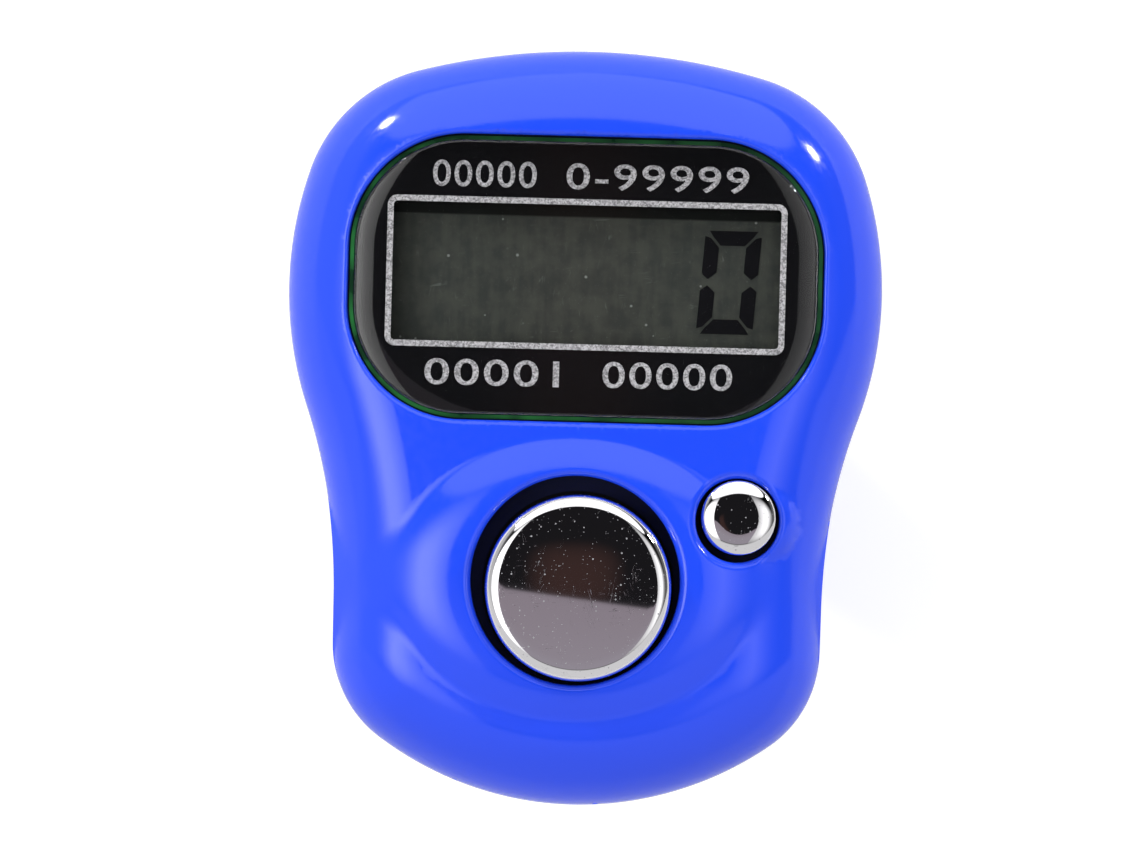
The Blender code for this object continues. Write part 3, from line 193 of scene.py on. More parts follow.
class CounterWindow(bpy.types.PropertyGroup):
    """Window, print and display"""

    width: length("Window width", "Width of the opening in the case", 23.9 * MM)
    height: length("Window height", "Height of the opening in the case", 14.35 * MM)
    corner: length("Window corner", "Corner radius of the opening", 5.8 * MM)
    gap: length("Window gap", "Gap between the opening and the lens", 0.32 * MM)
    bow: length("Lens bow", "Bow of the lens from side to side", 94.0 * MM)
    hollow: length("Lens hollow", "Rise of the lens's inside from its ends to its middle", 0.55 * MM)
    lens_edge: length("Lens edge", "Rounding of the lens's edge", 0.13 * MM)
    bevel: length("Lens bevel", "How far in the lens's edge starts to turn down", 1.15 * MM)
    bevel_drop: length("Lens bevel drop", "How far the lens's edge turns down at its ends", 0.17 * MM)
    view_width: length("View width", "Width of the clear area", 19.45 * MM)
    view_height: length("View height", "Height of the clear area", 6.99 * MM)
    view_corner: length("View corner", "Corner radius of the clear area", 0.2 * MM)
    view_rise: length("View rise", "How far the clear area sits above the window's middle", 0.25 * MM)
    line: length("Line", "Width of the silver line", 0.3 * MM)
    figure: length("Figure height", "Height of the printed figures", 1.33 * MM)
    digit_height: length("Digit height", "Height of the shown digit", 5.2 * MM)
    digit_width: length("Digit width", "Width of the shown digit", 2.84 * MM)
    digit_stroke: length("Digit stroke", "Thickness of a segment", 0.74 * MM)
    digit_slant: angle("Digit slant", "Lean of the shown digit", 4.2)


class CounterFinish(bpy.types.PropertyGroup):
    """Colours of the finishes"""

    blue: colour("Case blue", "Colour of the case", (0.016, 0.072, 0.9))
    band: colour("Band blue", "Colour of the finger band", (0.014, 0.055, 0.68))
    print_black: colour("Print black", "Colour of the window's print", (0.004, 0.004, 0.005))
    silver: colour("Silver ink", "Colour of the printed line and figures", (0.42, 0.41, 0.43))
    film: colour("Display film", "Colour of the blank display", (0.042, 0.045, 0.039))
    segment: colour("Segment", "Colour of a dark segment", (0.005, 0.005, 0.006))
    chrome: colour("Chrome", "Colour of the plated buttons", (0.82, 0.81, 0.83))


class CounterLight(bpy.types.PropertyGroup):
    """Studio"""

    far: FloatProperty(name="Far edge", description="Edge of the far panel", default=0.43)
    near: FloatProperty(name="Near edge", description="Edge of the near panel", default=0.45)
    left_glow: FloatProperty(name="Left", description="Brightness of the left panel", default=1.0)
    right_glow: FloatProperty(name="Right", description="Brightness of the right panel", default=1.0)
    far_glow: FloatProperty(name="Far", description="Brightness of the far panel", default=1.55)
    near_glow: FloatProperty(name="Near", description="Brightness of the near panel", default=0.72)
    left_wall: FloatProperty(name="Left wall", description="Brightness of the left wall", default=0.55)
    right_wall: FloatProperty(name="Right wall", description="Brightness of the right wall", default=0.14)
    lens: FloatProperty(name="Lens", description="Focal length of the camera in mm", default=250.0)
    pixels: FloatProperty(name="Scale", description="Picture pixels to a metre", default=19760.0)
    at: IntProperty(name="Middle", description="Picture column of the case's middle", default=582)
    roll: angle("Roll", "Turn of the camera", 1.5)


PROPERTY_GROUPS = {
    "counter_case": CounterCase,
    "counter_keys": CounterKeys,
    "counter_window": CounterWindow,
    "counter_finish": CounterFinish,
    "counter_light": CounterLight,
}

COUNT_AT = np.array((middle(COUNT_LOW, COUNT_HIGH, 0), middle(COUNT_LOW, COUNT_HIGH, 1)))
RESET_AT = np.array((middle(RESET_LOW, RESET_HIGH, 0), middle(RESET_LOW, RESET_HIGH, 1)))
WINDOW_AT = np.array((0.0, middle(LENS_LOW, LENS_HIGH, 1)))


# Flat outlines


class CaseOutline:
    """Edge of the case: tangent arcs down the right side, mirrored to the left."""

    def __init__(self, case):
        square = math.pi / 2
        shoulder = case.top_turn + case.shoulder_turn
        side = shoulder + case.side_turn
        corner = square + case.corner_turn
        turns = [
            (case.top_radius, 0.0, case.top_turn),
            (case.shoulder_radius, case.top_turn, shoulder),
            (case.side_radius, shoulder, side),
            (-case.waist_radius, side, square),
            (case.flank, square, square),
            (case.corner_radius, square, corner),
        ]
        across = sum(r * (math.sin(b) - math.sin(a)) for r, a, b in turns if a != b)
        turns.append((across / math.sin(corner), corner, math.pi))
        drop = case.flank + sum(r * (math.cos(a) - math.cos(b)) for r, a, b in turns if a != b)
        at = np.array((0.0, drop / 2))
        self.arcs = []
        for radius, start, end in turns:
            if start == end:
                self.arcs.append((at.copy(), None, start, radius))
                at = at - (0, radius)
                continue
            centre = at - radius * np.array((math.sin(start), math.cos(start)))
            self.arcs.append((centre, radius, start, end))
            at = centre + radius * np.array((math.sin(end), math.cos(end)))

    def ring(self, inset, spacing):
        """Points right round, that far in from the edge, about spacing apart at the edge."""
        right = []
        for centre, radius, start, end in self.arcs:
            if radius is None:
                steps = max(2, round(end / spacing))
                for step in range(steps):
                    right.append(centre - (inset, end * step / steps))
                continue
            steps = max(3, round(abs(radius * (end - start)) / spacing))
            turn = start + (end - start) * np.arange(steps) / steps
            bend = radius - inset
            right.extend(centre + bend * np.column_stack((np.sin(turn), np.cos(turn))))
        foot = self.arcs[-1]
        right.append(foot[0] - (0, foot[1] - inset))
        right = np.array(right)
        left = right[1:-1][::-1] * (-1, 1)
        return np.vstack((right, left))

    def inset(self, points):
        """How far each point lies inside the edge."""
        x, y = np.abs(points[:, 0]), points[:, 1]
        best = np.full(len(x), np.inf)
        for centre, radius, start, end in self.arcs:
            if radius is None:
                low, high = centre[1] - end, centre[1]
                gap = centre[0] - x
                gap = np.where((y >= low) & (y <= high), gap, np.inf)
            else:
                sign = math.copysign(1, radius)
                dx, dy = (x - centre[0]) * sign, (y - centre[1]) * sign
                turn = np.arctan2(dx, dy)
                gap = sign * (abs(radius) - np.hypot(dx, dy))
                low, high = min(start, end), max(start, end)
                gap = np.where((turn >= low - 1e-6) & (turn <= high + 1e-6), gap, np.inf)
            closer = np.abs(gap) < np.abs(best)
            best = np.where(closer, gap, best)
        return best


class RoundHole:
    """Round opening."""

    def __init__(self, at, radius, steps=144):
        self.at, self.radius, self.steps = np.asarray(at, float), radius, steps

    def ring(self, out):
        turn = 2 * math.pi * np.arange(self.steps) / self.steps
        return self.at + (self.radius + out) * np.column_stack((np.sin(turn), np.cos(turn)))

    def distance(self, points):
        return np.hypot(*(points - self.at).T) - self.radius


class RoundedHole:
    """Opening with straight sides and round corners."""

    def __init__(self, at, width, height, corner, corner_steps=30, side_steps=30):
        self.at = np.asarray(at, float)
        self.half = np.array((width / 2, height / 2))
        self.corner = min(corner, width / 2, height / 2)
        self.steps = corner_steps, side_steps

    def ring(self, out):
        """Points right round, clockwise from the middle of the top, as many on every ring."""
        corner_steps, side_steps = self.steps
        straight = self.half - self.corner
        bend = max(self.corner + out, 1e-6)
        quarters = []
        for sx, sy, first in ((1, 1, 0), (1, -1, 1), (-1, -1, 2), (-1, 1, 3)):
            turn = (first + np.arange(corner_steps + 1) / corner_steps) * math.pi / 2
            arc = bend * np.column_stack((np.sin(turn), np.cos(turn)))
            quarters.append(self.at + straight * (sx, sy) + arc)
        points = []
        for arc, following in zip(quarters, quarters[1:] + quarters[:1]):
            points.append(arc)
            share = (np.arange(1, side_steps) / side_steps)[:, None]
            points.append(arc[-1] * (1 - share) + following[0] * share)
        return np.vstack(points)

    def distance(self, points):
        past = np.abs(points - self.at) - (self.half - self.corner)
        outside = np.hypot(*np.maximum(past, 0).T)
        return outside + np.minimum(past.max(1), 0) - self.corner

    def inset(self, points):
        return -self.distance(points)


def rounded_drop(depth, radius):
    """How far a rounded edge lies below its face, at that distance in from the wall."""
    gone = np.clip(1 - depth / radius, 0, 1)
    return radius * (1 - np.sqrt(1 - gone * gone))


def edge_steps(radius, count):
    """Distances from the wall at which a rounded edge is sampled."""
    return radius * (1 - np.cos(np.pi / 2 * np.arange(count + 1) / count))


def rings_round(hole, round_off, steps, *beyond):
    """(hole, its rings over a rounded edge and at distances beyond it)."""
    return hole, [hole.ring(out) for out in [*edge_steps(round_off, steps), *beyond]]


def flat_field(z):
    """Field of one height."""
    return lambda points: np.full(len(points), z)


def soft_highest(a, b, reach):
    """The higher of two heights, with the crease between them rounded."""
    near = np.maximum(reach - np.abs(a - b), 0) / reach
    return np.maximum(a, b) + near * near * reach / 4


# Meshes

# Shares of the spacing: from row to row, and how far points keep from the edge and from its rings
EVEN_ROW, CLEAR_OF_EDGE, CLEAR_OF_RINGS = 0.866, 0.5, 0.62
SLOPE_STEP = 2e-6


def even_rows(low, high, spacing):
    """Points in even rows over a rectangle, every other row set half a step aside."""
    pitch = spacing * EVEN_ROW
    points = []
    for row in range(int((high[1] - low[1]) / pitch) + 1):
        aside = spacing / 2 if row % 2 else 0
        for column in range(int((high[0] - low[0]) / spacing) + 2):
            points.append((low[0] + column * spacing + aside, low[1] + row * pitch))
    return np.array(points)


class Skin:
    """Collects the points and faces of one closed piece."""

    def __init__(self):
        self.points, self.faces = [], []
        self.normals, self.looks = {}, {}

    def add(self, flat, heights):
        first = len(self.points)
        heights = np.broadcast_to(heights, len(flat))
        self.points.extend((x, y, z) for (x, y), z in zip(flat, heights))
        return list(range(first, len(self.points)))

    def strip(self, *loops, look=0):
        """Bands of faces between loops of equally many points."""
        for lower, upper in zip(loops, loops[1:]):
            count = len(lower)
            for i in range(count):
                j = (i + 1) % count
                face = (lower[i], lower[j], upper[j], upper[i])
                self.faces.append(face)
                self.looks[face] = look

    def fill(self, edge_rings, holes, inside, height, spacing, facing=1):
        """Triangulates a field of heights between its edge and its holes, and gives their loops.

        Each point keeps the normal of the field itself, so that reflections run true over the triangles.
        """
        flat, loops, constraints = [], [], []
        for ring_set in [edge_rings] + [hole_rings for _, hole_rings in holes]:
            first = len(flat)
            count = len(ring_set[0])
            loops.append(list(range(first, first + count)))
            constraints += [(first + i, first + (i + 1) % count) for i in range(count)]
            for ring in ring_set:
                flat.extend(map(tuple, ring))
        flat = np.array(flat)
        grid = even_rows(flat.min(0), flat.max(0), spacing)
        grid = grid[inside(grid) > spacing * CLEAR_OF_EDGE]
        for hole, _ in holes:
            grid = grid[hole.distance(grid) > spacing * CLEAR_OF_EDGE]
        tree = kdtree.KDTree(len(flat))
        for index, (x, y) in enumerate(flat):
            tree.insert((x, y, 0), index)
        tree.balance()
        clear = [tree.find((x, y, 0))[2] > spacing * CLEAR_OF_RINGS for x, y in grid]
        flat = np.vstack((flat, grid[clear]))
        verts, _, faces, origins, _, _ = geometry.delaunay_2d_cdt(
            [Vector(p) for p in flat], constraints, [], 0, 1e-9, True
        )
        spots = np.array([[v.x, v.y] for v in verts])
        faces = np.array([f for f in faces if len(f) == 3])
        centre = spots[faces].mean(1)
        keep = inside(centre) > 0
        for hole, _ in holes:
            keep &= hole.distance(centre) > 0
        faces = faces[keep]
        index_of = {origin: i for i, found in enumerate(origins) for origin in found}
        start = self.add(spots, height(spots))[0]
        sides = (SLOPE_STEP, 0), (0, SLOPE_STEP)
        slopes = [(height(spots + side) - height(spots - side)) / (2 * SLOPE_STEP) for side in sides]
        for index, slope in enumerate(zip(*slopes)):
            self.normals[start + index] = Vector((-slope[0], -slope[1], 1)).normalized() * facing
        self.faces.extend(tuple(int(i) + start for i in face) for face in faces)
        return [[index_of[i] + start for i in loop] for loop in loops]

    def piece(self, name, material, *others):
        """Makes the object, with its faces turned outwards and shaded smooth."""
        bm = bmesh.new()
        number = bm.verts.layers.int.new("number")
        verts = [bm.verts.new(p) for p in self.points]
        for index, vert in enumerate(verts):
            vert[number] = index
        for face in self.faces:
            made = bm.faces.new([verts[i] for i in face])
            made.material_index = self.looks.get(face, 0)
        loose = [v for v in bm.verts if not v.link_faces]
        bmesh.ops.delete(bm, geom=loose, context="VERTS")
        obj = from_bmesh(name, bm, material)
        for other in others:
            obj.data.materials.append(other)
        self.set_normals(obj.data)
        return obj

    def set_normals(self, mesh):
        numbers = [item.value for item in mesh.attributes["number"].data]
        given = [(0, 0, 0)] * len(mesh.loops)
        for polygon in mesh.polygons:
            found = [self.normals.get(numbers[v]) for v in polygon.vertices]
            if len(found) == 3 and all(found):
                for loop, normal in zip(polygon.loop_indices, found):
                    given[loop] = normal
        if any(given):
            mesh.normals_split_custom_set(given)
        mesh.attributes.remove(mesh.attributes["number"])


def from_bmesh(name, bm, material, sharp=40):
    bmesh.ops.recalc_face_normals(bm, faces=bm.faces)
    mesh = bpy.data.meshes.new(name)
    bm.to_mesh(mesh)
    bm.free()
    obj = bpy.data.objects.new(name, mesh)
    bpy.context.scene.collection.objects.link(obj)
    mesh.materials.append(material)
    mesh.shade_smooth()
    mesh.set_sharp_from_angle(angle=math.radians(sharp))
    return obj


def place(obj, body, slot=None, *nodes):
    """Rides a piece on its body, in place of CAD nodes."""
    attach(obj, body)
    if nodes:
        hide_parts(*nodes)
    return obj


# Case

# Rings beyond the rounding of a hole's edge
PAST_EDGE = 0.22 * MM, 0.42 * MM

# Ledges inside the buttons' holes, how far down their walls the painted shade starts, and the slope round
# the view
COUNT_LEDGE, RESET_LEDGE = 0.42 * MM, 0.15 * MM
SHADED_BELOW = 0.75 * MM
VIEW_SLOPE = 0.8 * MM


def hole_at(keys, count):
    """Middle of the count or the reset button's hole, which its button sits a little off."""
    if count:
        return COUNT_AT - np.array(keys.off_centre)
    return RESET_AT - np.array(keys.reset_off_centre)


def count_mound(points, keys):
    """Height of the count mound over the face: a flat oval that bends down all round."""
    offset = points - hole_at(keys, True)
    share = np.maximum(np.hypot(*(offset / (keys.mound_across, keys.mound_along)).T), 1)
    past = np.hypot(*offset.T) * (1 - 1 / share)
    return keys.mound_rise - past * past / (2 * keys.mound_bend)


def reset_mound(points, keys):
    """Height of the reset button's round swelling over the face. Past its reach it is far below."""
    share = np.hypot(*(points - hole_at(keys, False)).T) / keys.reset_mound
    dome = np.sqrt(1 - np.minimum(share, 1) ** 2)
    return np.where(share < 1, keys.reset_rise * dome - keys.reset_sunk, -keys.reset_sunk * 4)


def rounded_side(depth, reach, rise):
    """How far a rounded rim lies past its face, at that distance in from the edge."""
    gone = np.clip(1 - np.maximum(depth, 0) / reach, 0, 1)
    return rise * (1 - np.sqrt(1 - gone * gone))


def face_field(case, keys, outline):
    """Height of the front's outside, with its mounds."""

    def height(points):
        face = case.face - points[:, 0] ** 2 / (2 * case.crown_radius)
        face = face - rounded_side(outline.inset(points), case.rim_depth, case.rim_height)
        face = soft_highest(face, case.face + count_mound(points, keys), case.blend)
        return soft_highest(face, case.face + reset_mound(points, keys), case.blend)

    return height


def case_front_holes(keys, window):
    """The three openings in the face."""
    return [
        pocket_outline(window),
        RoundHole(hole_at(keys, True), keys.mouth),
        RoundHole(hole_at(keys, False), keys.reset_mouth, 96),
    ]


def front_outside(skin, scene, outline, holes):
    """Adds the front's outside to a skin. Gives the loops of its rim and openings."""
    case = scene.counter_case
    edges = case.hole_edge, case.key_edge, case.key_edge
    top = face_field(case, scene.counter_keys, outline)

    def height(points):
        z = top(points)
        for hole, round_off in zip(holes, edges):
            z = z - rounded_drop(hole.distance(points), round_off)
        return z

    rim = [outline.ring(inset, EDGE_SPACING) for inset in edge_steps(case.rim_depth, 20)]
    rings = []
    for hole, round_off in zip(holes, edges):
        rings.append(rings_round(hole, round_off, 7, *(round_off + past for past in PAST_EDGE)))
    return skin.fill(rim, rings, outline.inset, height, FACE_SPACING)


def front_inside(skin, case, outline, holes):
    """Adds the front's inside, a wall under its outside and no higher than the ceiling."""

    def inside(points):
        return outline.inset(points) - case.wall

    def height(points):
        under = case.face - points[:, 0] ** 2 / (2 * case.crown_radius) - case.wall
        under = under - rounded_side(inside(points), case.rim_depth, case.rim_height)
        return np.minimum(under, case.ceiling)

    rim = [outline.ring(case.wall + inset, EDGE_SPACING) for inset in edge_steps(0.8 * case.rim_depth, 5)]
    rings = [(hole, [hole.ring(0)]) for hole in holes]
    return skin.fill(rim, rings, inside, height, spacing=1.0 * MM, facing=-1)


def front_inner_holes(keys, window):
    """The three openings in the front's inside: a frame round the view, and the buttons' collars."""
    view_at = WINDOW_AT + (0, window.view_rise)
    width, height = window.view_width + VIEW_SLOPE, window.view_height + VIEW_SLOPE
    return [
        RoundedHole(view_at, width, height, window.view_corner + VIEW_SLOPE / 2),
        RoundHole(COUNT_AT, keys.mouth - COUNT_LEDGE),
        RoundHole(RESET_AT, keys.reset_mouth - RESET_LEDGE, 96),
    ]


class COUNTER_OT_case_front(bpy.types.Operator):
    """Builds the front of the case: rounded rim, bowed face, mounds and openings"""

    bl_idname = "counter.case_front"
    bl_label = "Case front"

    def execute(self, context):
        scene = context.scene
        case, keys, window = scene.counter_case, scene.counter_keys, scene.counter_window
        outline = CaseOutline(case)
        holes = case_front_holes(keys, window)
        inner_holes = front_inner_holes(keys, window)
        skin = Skin()
        edge, window_loop, *key_loops = front_outside(skin, scene, outline, holes)
        outer = skin.add(outline.ring(0, EDGE_SPACING), case.parting + SEAM)
        tucked = skin.add(outline.ring(SEAM, EDGE_SPACING), case.parting)
        skin.strip(edge, outer, tucked)
        inner_edge, view_loop, *collar_loops = front_inside(skin, case, outline, inner_holes)
        skin.strip(tucked, skin.add(outline.ring(case.wall, EDGE_SPACING), case.parting), inner_edge)
        floor = MASK_LOW[2] - 0.1 * MM
        shelf = skin.add(holes[0].ring(0), floor)
        # The pocket's wall, its shelf and the slope round the view take the second material: painted shade.
        skin.strip(window_loop, shelf, skin.add(inner_holes[0].ring(0), floor), view_loop, look=1)
        for hole, loop, inner, inner_loop in zip(holes[1:], key_loops, inner_holes[1:], collar_loops):
            shoulder = skin.add(hole.ring(0), case.face - SHADED_BELOW)
            skin.strip(loop, shoulder)
            # The walls and steps of the buttons' holes below the shoulder take the second material: painted
            # shade.
            step = skin.add(hole.ring(0), keys.mouth_floor)
            skin.strip(shoulder, step, skin.add(inner.ring(0), keys.mouth_floor), inner_loop, look=1)
        shell = skin.piece("case_front", glossy_blue(), shaded_blue())
        place(shell, CASE, "case_blue", "front_shell")
        return {"FINISHED"}


# Back


def back_field(case, outline):
    """Height of the back's outside: rounded edge and the hollow that sits on a finger."""
    low = COVER_LOW[2]

    def height(points):
        edge = low + rounded_side(outline.inset(points), case.back_edge_depth, case.back_edge_height)
        axis = low + case.saddle_depth - case.saddle_radius
        saddle = axis + np.sqrt(case.saddle_radius**2 - points[:, 0] ** 2)
        return soft_highest(edge, saddle, 0.1 * MM)

    return height


def screw_places():
    """Middles of the four case screws."""
    boxes = [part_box(name) for name in CASE_SCREWS]
    return [(middle(low, high, 0), middle(low, high, 1)) for low, high in boxes]


def door_form(grow):
    """Outline of the battery door or of its opening."""
    high = DOOR_HIGH[1] + grow
    low = DOOR_LOW[1] + DOOR_TONGUE_REACH - grow
    width = 2 * (DOOR_HIGH[0] + grow)
    return RoundedHole((0, (high + low) / 2), width, high - low, DOOR_CORNER + grow, 8, 16)


def band_slots(case):
    """The two openings through which the band's ends go."""
    x, y = BAND_HIGH[0] - BAND_LIP - case.band / 2, middle(BAND_LOW, BAND_HIGH, 1)
    room = 0.4 * MM
    width, height = case.band + room, case.band_width + room
    return [RoundedHole((side * x, y), width, height, 0.3 * MM, 5, 16) for side in (1, -1)]


class COUNTER_OT_case_back(bpy.types.Operator):
    """Builds the back of the case: finger hollow, band slots, screw sinks and battery opening"""

    bl_idname = "counter.case_back"
    bl_label = "Case back"

    def execute(self, context):
        case = context.scene.counter_case
        outline = CaseOutline(case)
        slots = band_slots(case)
        sinks = [RoundHole(at, SINK_RADIUS, 48) for at in screw_places()]
        holes = [door_form(DOOR_GAP), *slots, *sinks]
        ledges = [DOOR_LEDGE] + [0] * len(slots) + [SINK_LEDGE] * len(sinks)
        seats = [DOOR_SEAT] + [None] * len(slots) + [CASE_SCREW_SEAT] * len(sinks)
        edge = 0.15 * MM
        back = back_field(case, outline)

        def height(points):
            z = back(points)
            for hole in holes:
                z = z + rounded_drop(hole.distance(points), edge)
            return z

        def inside(points):
            return outline.inset(points) - case.wall

        skin = Skin()
        rings = [outline.ring(inset, BACK_SPACING) for inset in edge_steps(case.back_edge_depth, 12)]
        near = [rings_round(hole, edge, 4, 0.4 * MM) for hole in holes]
        rim, *loops = skin.fill(rings, near, outline.inset, height, BACK_SPACING, facing=-1)
        inner_ring = outline.ring(case.wall, BACK_SPACING)
        through = [(hole, [hole.ring(-ledge)]) for hole, ledge in zip(holes, ledges)]
        floor = flat_field(case.back_floor)
        floor_rim, *floor_loops = skin.fill([inner_ring], through, inside, floor, spacing=1.5 * MM)
        lip = case.parting - 0.1 * MM
        outer = skin.add(rings[0], lip - SEAM)
        tucked = skin.add(outline.ring(SEAM, BACK_SPACING), lip)
        skin.strip(rim, outer, tucked, skin.add(inner_ring, lip), floor_rim)
        for hole, loop, (_, (ring,)), inner, seat in zip(holes, loops, through, floor_loops, seats):
            steps = [] if seat is None else [skin.add(hole.ring(0), seat), skin.add(ring, seat)]
            skin.strip(loop, *steps, inner)
        place(skin.piece("case_back", glossy_blue()), CASE, "case_blue", "rear_cover")
        return {"FINISHED"}


class COUNTER_OT_door(bpy.types.Operator):
    """Builds the battery door with its finger grips and screw sink"""

    bl_idname = "counter.door"
    bl_label = "Battery door"

    def execute(self, context):
        case = context.scene.counter_case
        form = door_form(0)
        saddle = back_field(case, CaseOutline(case))
        grip_at = middle(*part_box("battery_cell"), 1)
        pitch, *size = 1.2 * MM, 5.8 * MM, 0.6 * MM, 0.25 * MM
        grips = [RoundedHole((0, grip_at + step * pitch), *size, 8, 6) for step in (-1, 0, 1)]
        low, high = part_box("battery_door_screw")
        sink = RoundHole((middle(low, high, 0), middle(low, high, 1)), SINK_RADIUS, 48)
        holes = [*grips, sink]
        edge, hole_edge = 0.18 * MM, 0.1 * MM

        def height(points):
            z = saddle(points) + rounded_drop(form.inset(points), edge)
            for hole in holes:
                z = z + rounded_drop(hole.distance(points), hole_edge)
            return z

        skin = Skin()
        rings = [form.ring(-inset) for inset in edge_steps(edge, 5)]
        near = [rings_round(hole, hole_edge, 3, 0.25 * MM) for hole in holes]
        rim, *loops = skin.fill(rings, near, form.inset, height, BACK_SPACING, facing=-1)
        for grip, loop in zip(grips, loops):
            bottom = skin.add(grip.ring(-0.05 * MM), GRIP_FLOOR)
            skin.strip(loop, bottom)
            skin.faces.append(tuple(bottom))
        ledge = sink.ring(-SINK_LEDGE)
        under, floor = [(sink, [ledge])], flat_field(DOOR_INSIDE)
        top_rim, top_hole = skin.fill([form.ring(0)], under, form.inset, floor, spacing=2.0 * MM)
        skin.strip(rim, top_rim)
        seat = DOOR_SCREW_SEAT
        skin.strip(loops[-1], skin.add(sink.ring(0), seat), skin.add(ledge, seat), top_hole)
        place(skin.piece("door", door_blue()), CASE, "case_blue", "battery_door")
        return {"FINISHED"}


# Band


def band_path(case):
    """Middle line of the band from head to head, as (x, z, outward x, outward z)."""
    bend = 6.5 * MM
    sides, turns, feet = 12, 24, 6
    half = BAND_HIGH[0] - BAND_LIP - case.band / 2
    flat = half - bend
    foot = case.band / 2
    path = []
    for step in range(sides + 1):
        path.append((-half, BAND_HEAD - (BAND_HEAD - foot - bend) * step / sides, -1.0, 0.0))
    for step in range(1, turns + 1):
        turn = math.pi + math.pi / 2 * step / turns
        out, down = math.cos(turn), math.sin(turn)
        path.append((-flat + bend * out, foot + bend + bend * down, out, down))
    for step in range(1, feet + 1):
        path.append((-flat + flat * step / feet, foot, 0.0, -1.0))
    return path + [(-x, z, -out, down) for x, z, out, down in reversed(path[:-1])]


def swept(name, path, across, material):
    """Closed strip along a path, from a section of (outward, sideways) points."""
    bm = bmesh.new()
    rings = [
        [bm.verts.new((x + out * bulge, side, z + down * bulge)) for bulge, side in across]
        for x, z, out, down in path
    ]
    count = len(across)
    for first, second in zip(rings, rings[1:]):
        for i in range(count):
            j = (i + 1) % count
            bm.faces.new((first[i], first[j], second[j], second[i]))
    bm.faces.new(rings[0])
    bm.faces.new(rings[-1])
    return from_bmesh(name, bm, material)


def capsule(bm, start, end, radius):
    """Rod with round ends along Y."""
    made = bmesh.ops.create_uvsphere(bm, u_segments=20, v_segments=14, radius=radius)["verts"]
    stretch = (end[1] - start[1]) / 2 - radius
    for vert in made:
        x, y, z = vert.co
        y = z + math.copysign(stretch, z) if abs(z) > 1e-9 else 0.0
        vert.co = ((start[0] + end[0]) / 2 + x, (start[1] + end[1]) / 2 + y, start[2] + vert.co[1])


def band_ribs(case, at_x, at_y, material):
    """Ribs across the band that hold it in its slots, three on each side."""
    radius, pitch = 0.4 * MM, 1.6 * MM
    reach = case.band_width / 2 - 0.5 * MM
    bm = bmesh.new()
    for side in (-1, 1):
        for step in (1, 2, 3):
            x, z = side * at_x, COVER_LOW[2] - pitch * step
            capsule(bm, (x, at_y - reach, z), (x, at_y + reach, z), radius)
    return from_bmesh("band_ribs", bm, material)


def band_heads(at_x, at_y, material):
    """Thick ends of the band, inside the case."""
    size = Vector((2.7 * MM, BAND_HIGH[1] - BAND_LOW[1], 1.4 * MM))
    bm = bmesh.new()
    for side in (-1, 1):
        for vert in bmesh.ops.create_cube(bm, size=1.0)["verts"]:
            vert.co = vert.co * size + Vector((side * at_x, at_y, BAND_HEAD))
    bmesh.ops.bevel(bm, geom=bm.edges[:], offset=0.25 * MM, segments=3, affect="EDGES", profile=0.5)
    return from_bmesh("band_heads", bm, material)


class COUNTER_OT_band(bpy.types.Operator):
    """Builds the soft finger band with its holding ribs and its heads inside the case"""

    bl_idname = "counter.band"
    bl_label = "Finger band"

    def execute(self, context):
        case = context.scene.counter_case
        rubber = band_rubber()
        at_x, at_y = BAND_HIGH[0] - BAND_LIP, middle(BAND_LOW, BAND_HIGH, 1)
        section = RoundedHole((0, at_y), case.band, case.band_width, 0.4 * MM, 6, 6).ring(0)
        place(swept("band", band_path(case), section, rubber), CASE, "band_blue", "finger_band")
        place(band_ribs(case, at_x, at_y, rubber), CASE, "band_blue")
        place(band_heads(at_x - case.band / 2, at_y, rubber), CASE, "band_blue")
        return {"FINISHED"}


# Buttons

CAP_WALL = 0.7 * MM
CAP_FOOT_POINTS = 8
PLATED_DOWN_TO = 0.6 * MM
RESET_LEAN = (-0.035, -0.022)


def turned(name, at, profile, material, steps=128, lean=(0, 0)):
    """Turned cap from a profile of (radius, height), top centre first, its top sloping by lean."""
    bm = bmesh.new()
    rings = []
    for radius, z in profile:
        if radius < 1e-7:
            rings.append([bm.verts.new((*at, z))])
            continue
        rings.append([])
        for turn in 2 * math.pi * np.arange(steps) / steps:
            x, y = radius * math.sin(turn), radius * math.cos(turn)
            slope = x * lean[0] + y * lean[1] if len(rings) < len(profile) - CAP_FOOT_POINTS else 0
            rings[-1].append(bm.verts.new((at[0] + x, at[1] + y, z + slope)))
    for upper, lower in zip(rings, rings[1:]):
        for i in range(steps):
            j = (i + 1) % steps
            corners = [ring[k % len(ring)] for ring, k in ((upper, i), (upper, j), (lower, j), (lower, i))]
            corners = list(dict.fromkeys(corners))
            if len(corners) > 2:
                bm.faces.new(corners)
    return from_bmesh(name, bm, material)


def cap_profile(radius, top, edge, dome, foot):
    """Domed cap with an oval (reach, drop) edge, on a foot of (flange radius, flange top, lowest)."""
    reach, drop = edge
    flange_radius, flange_top, low = foot
    flat = radius - reach
    steps = 16
    outs = [radius * math.sin(math.pi / 2 * i / steps) for i in range(steps)]
    outs += [flat + reach * math.sin(turn) for turn in (1.2, 1.35, 1.45, 1.52, math.pi / 2)]
    profile = []
    for out in sorted(set(outs)):
        gone = min(1.0, max(0.0, (out - flat) / reach))
        fall = dome * (out / radius) ** 2 + drop * (1 - math.sqrt(1 - gone * gone))
        profile.append((out, top - fall))
    side, shoulder = profile[-1]
    inside = radius - CAP_WALL
    roof = shoulder - 0.1 * MM
    boss = min(1.0 * MM, inside / 2)
    return profile + [
        (side, flange_top),
        (flange_radius, flange_top),
        (flange_radius, low),
        (inside, low),
        (inside, roof),
        (boss, roof),
        (boss, low),
        (0.0, low),
    ]


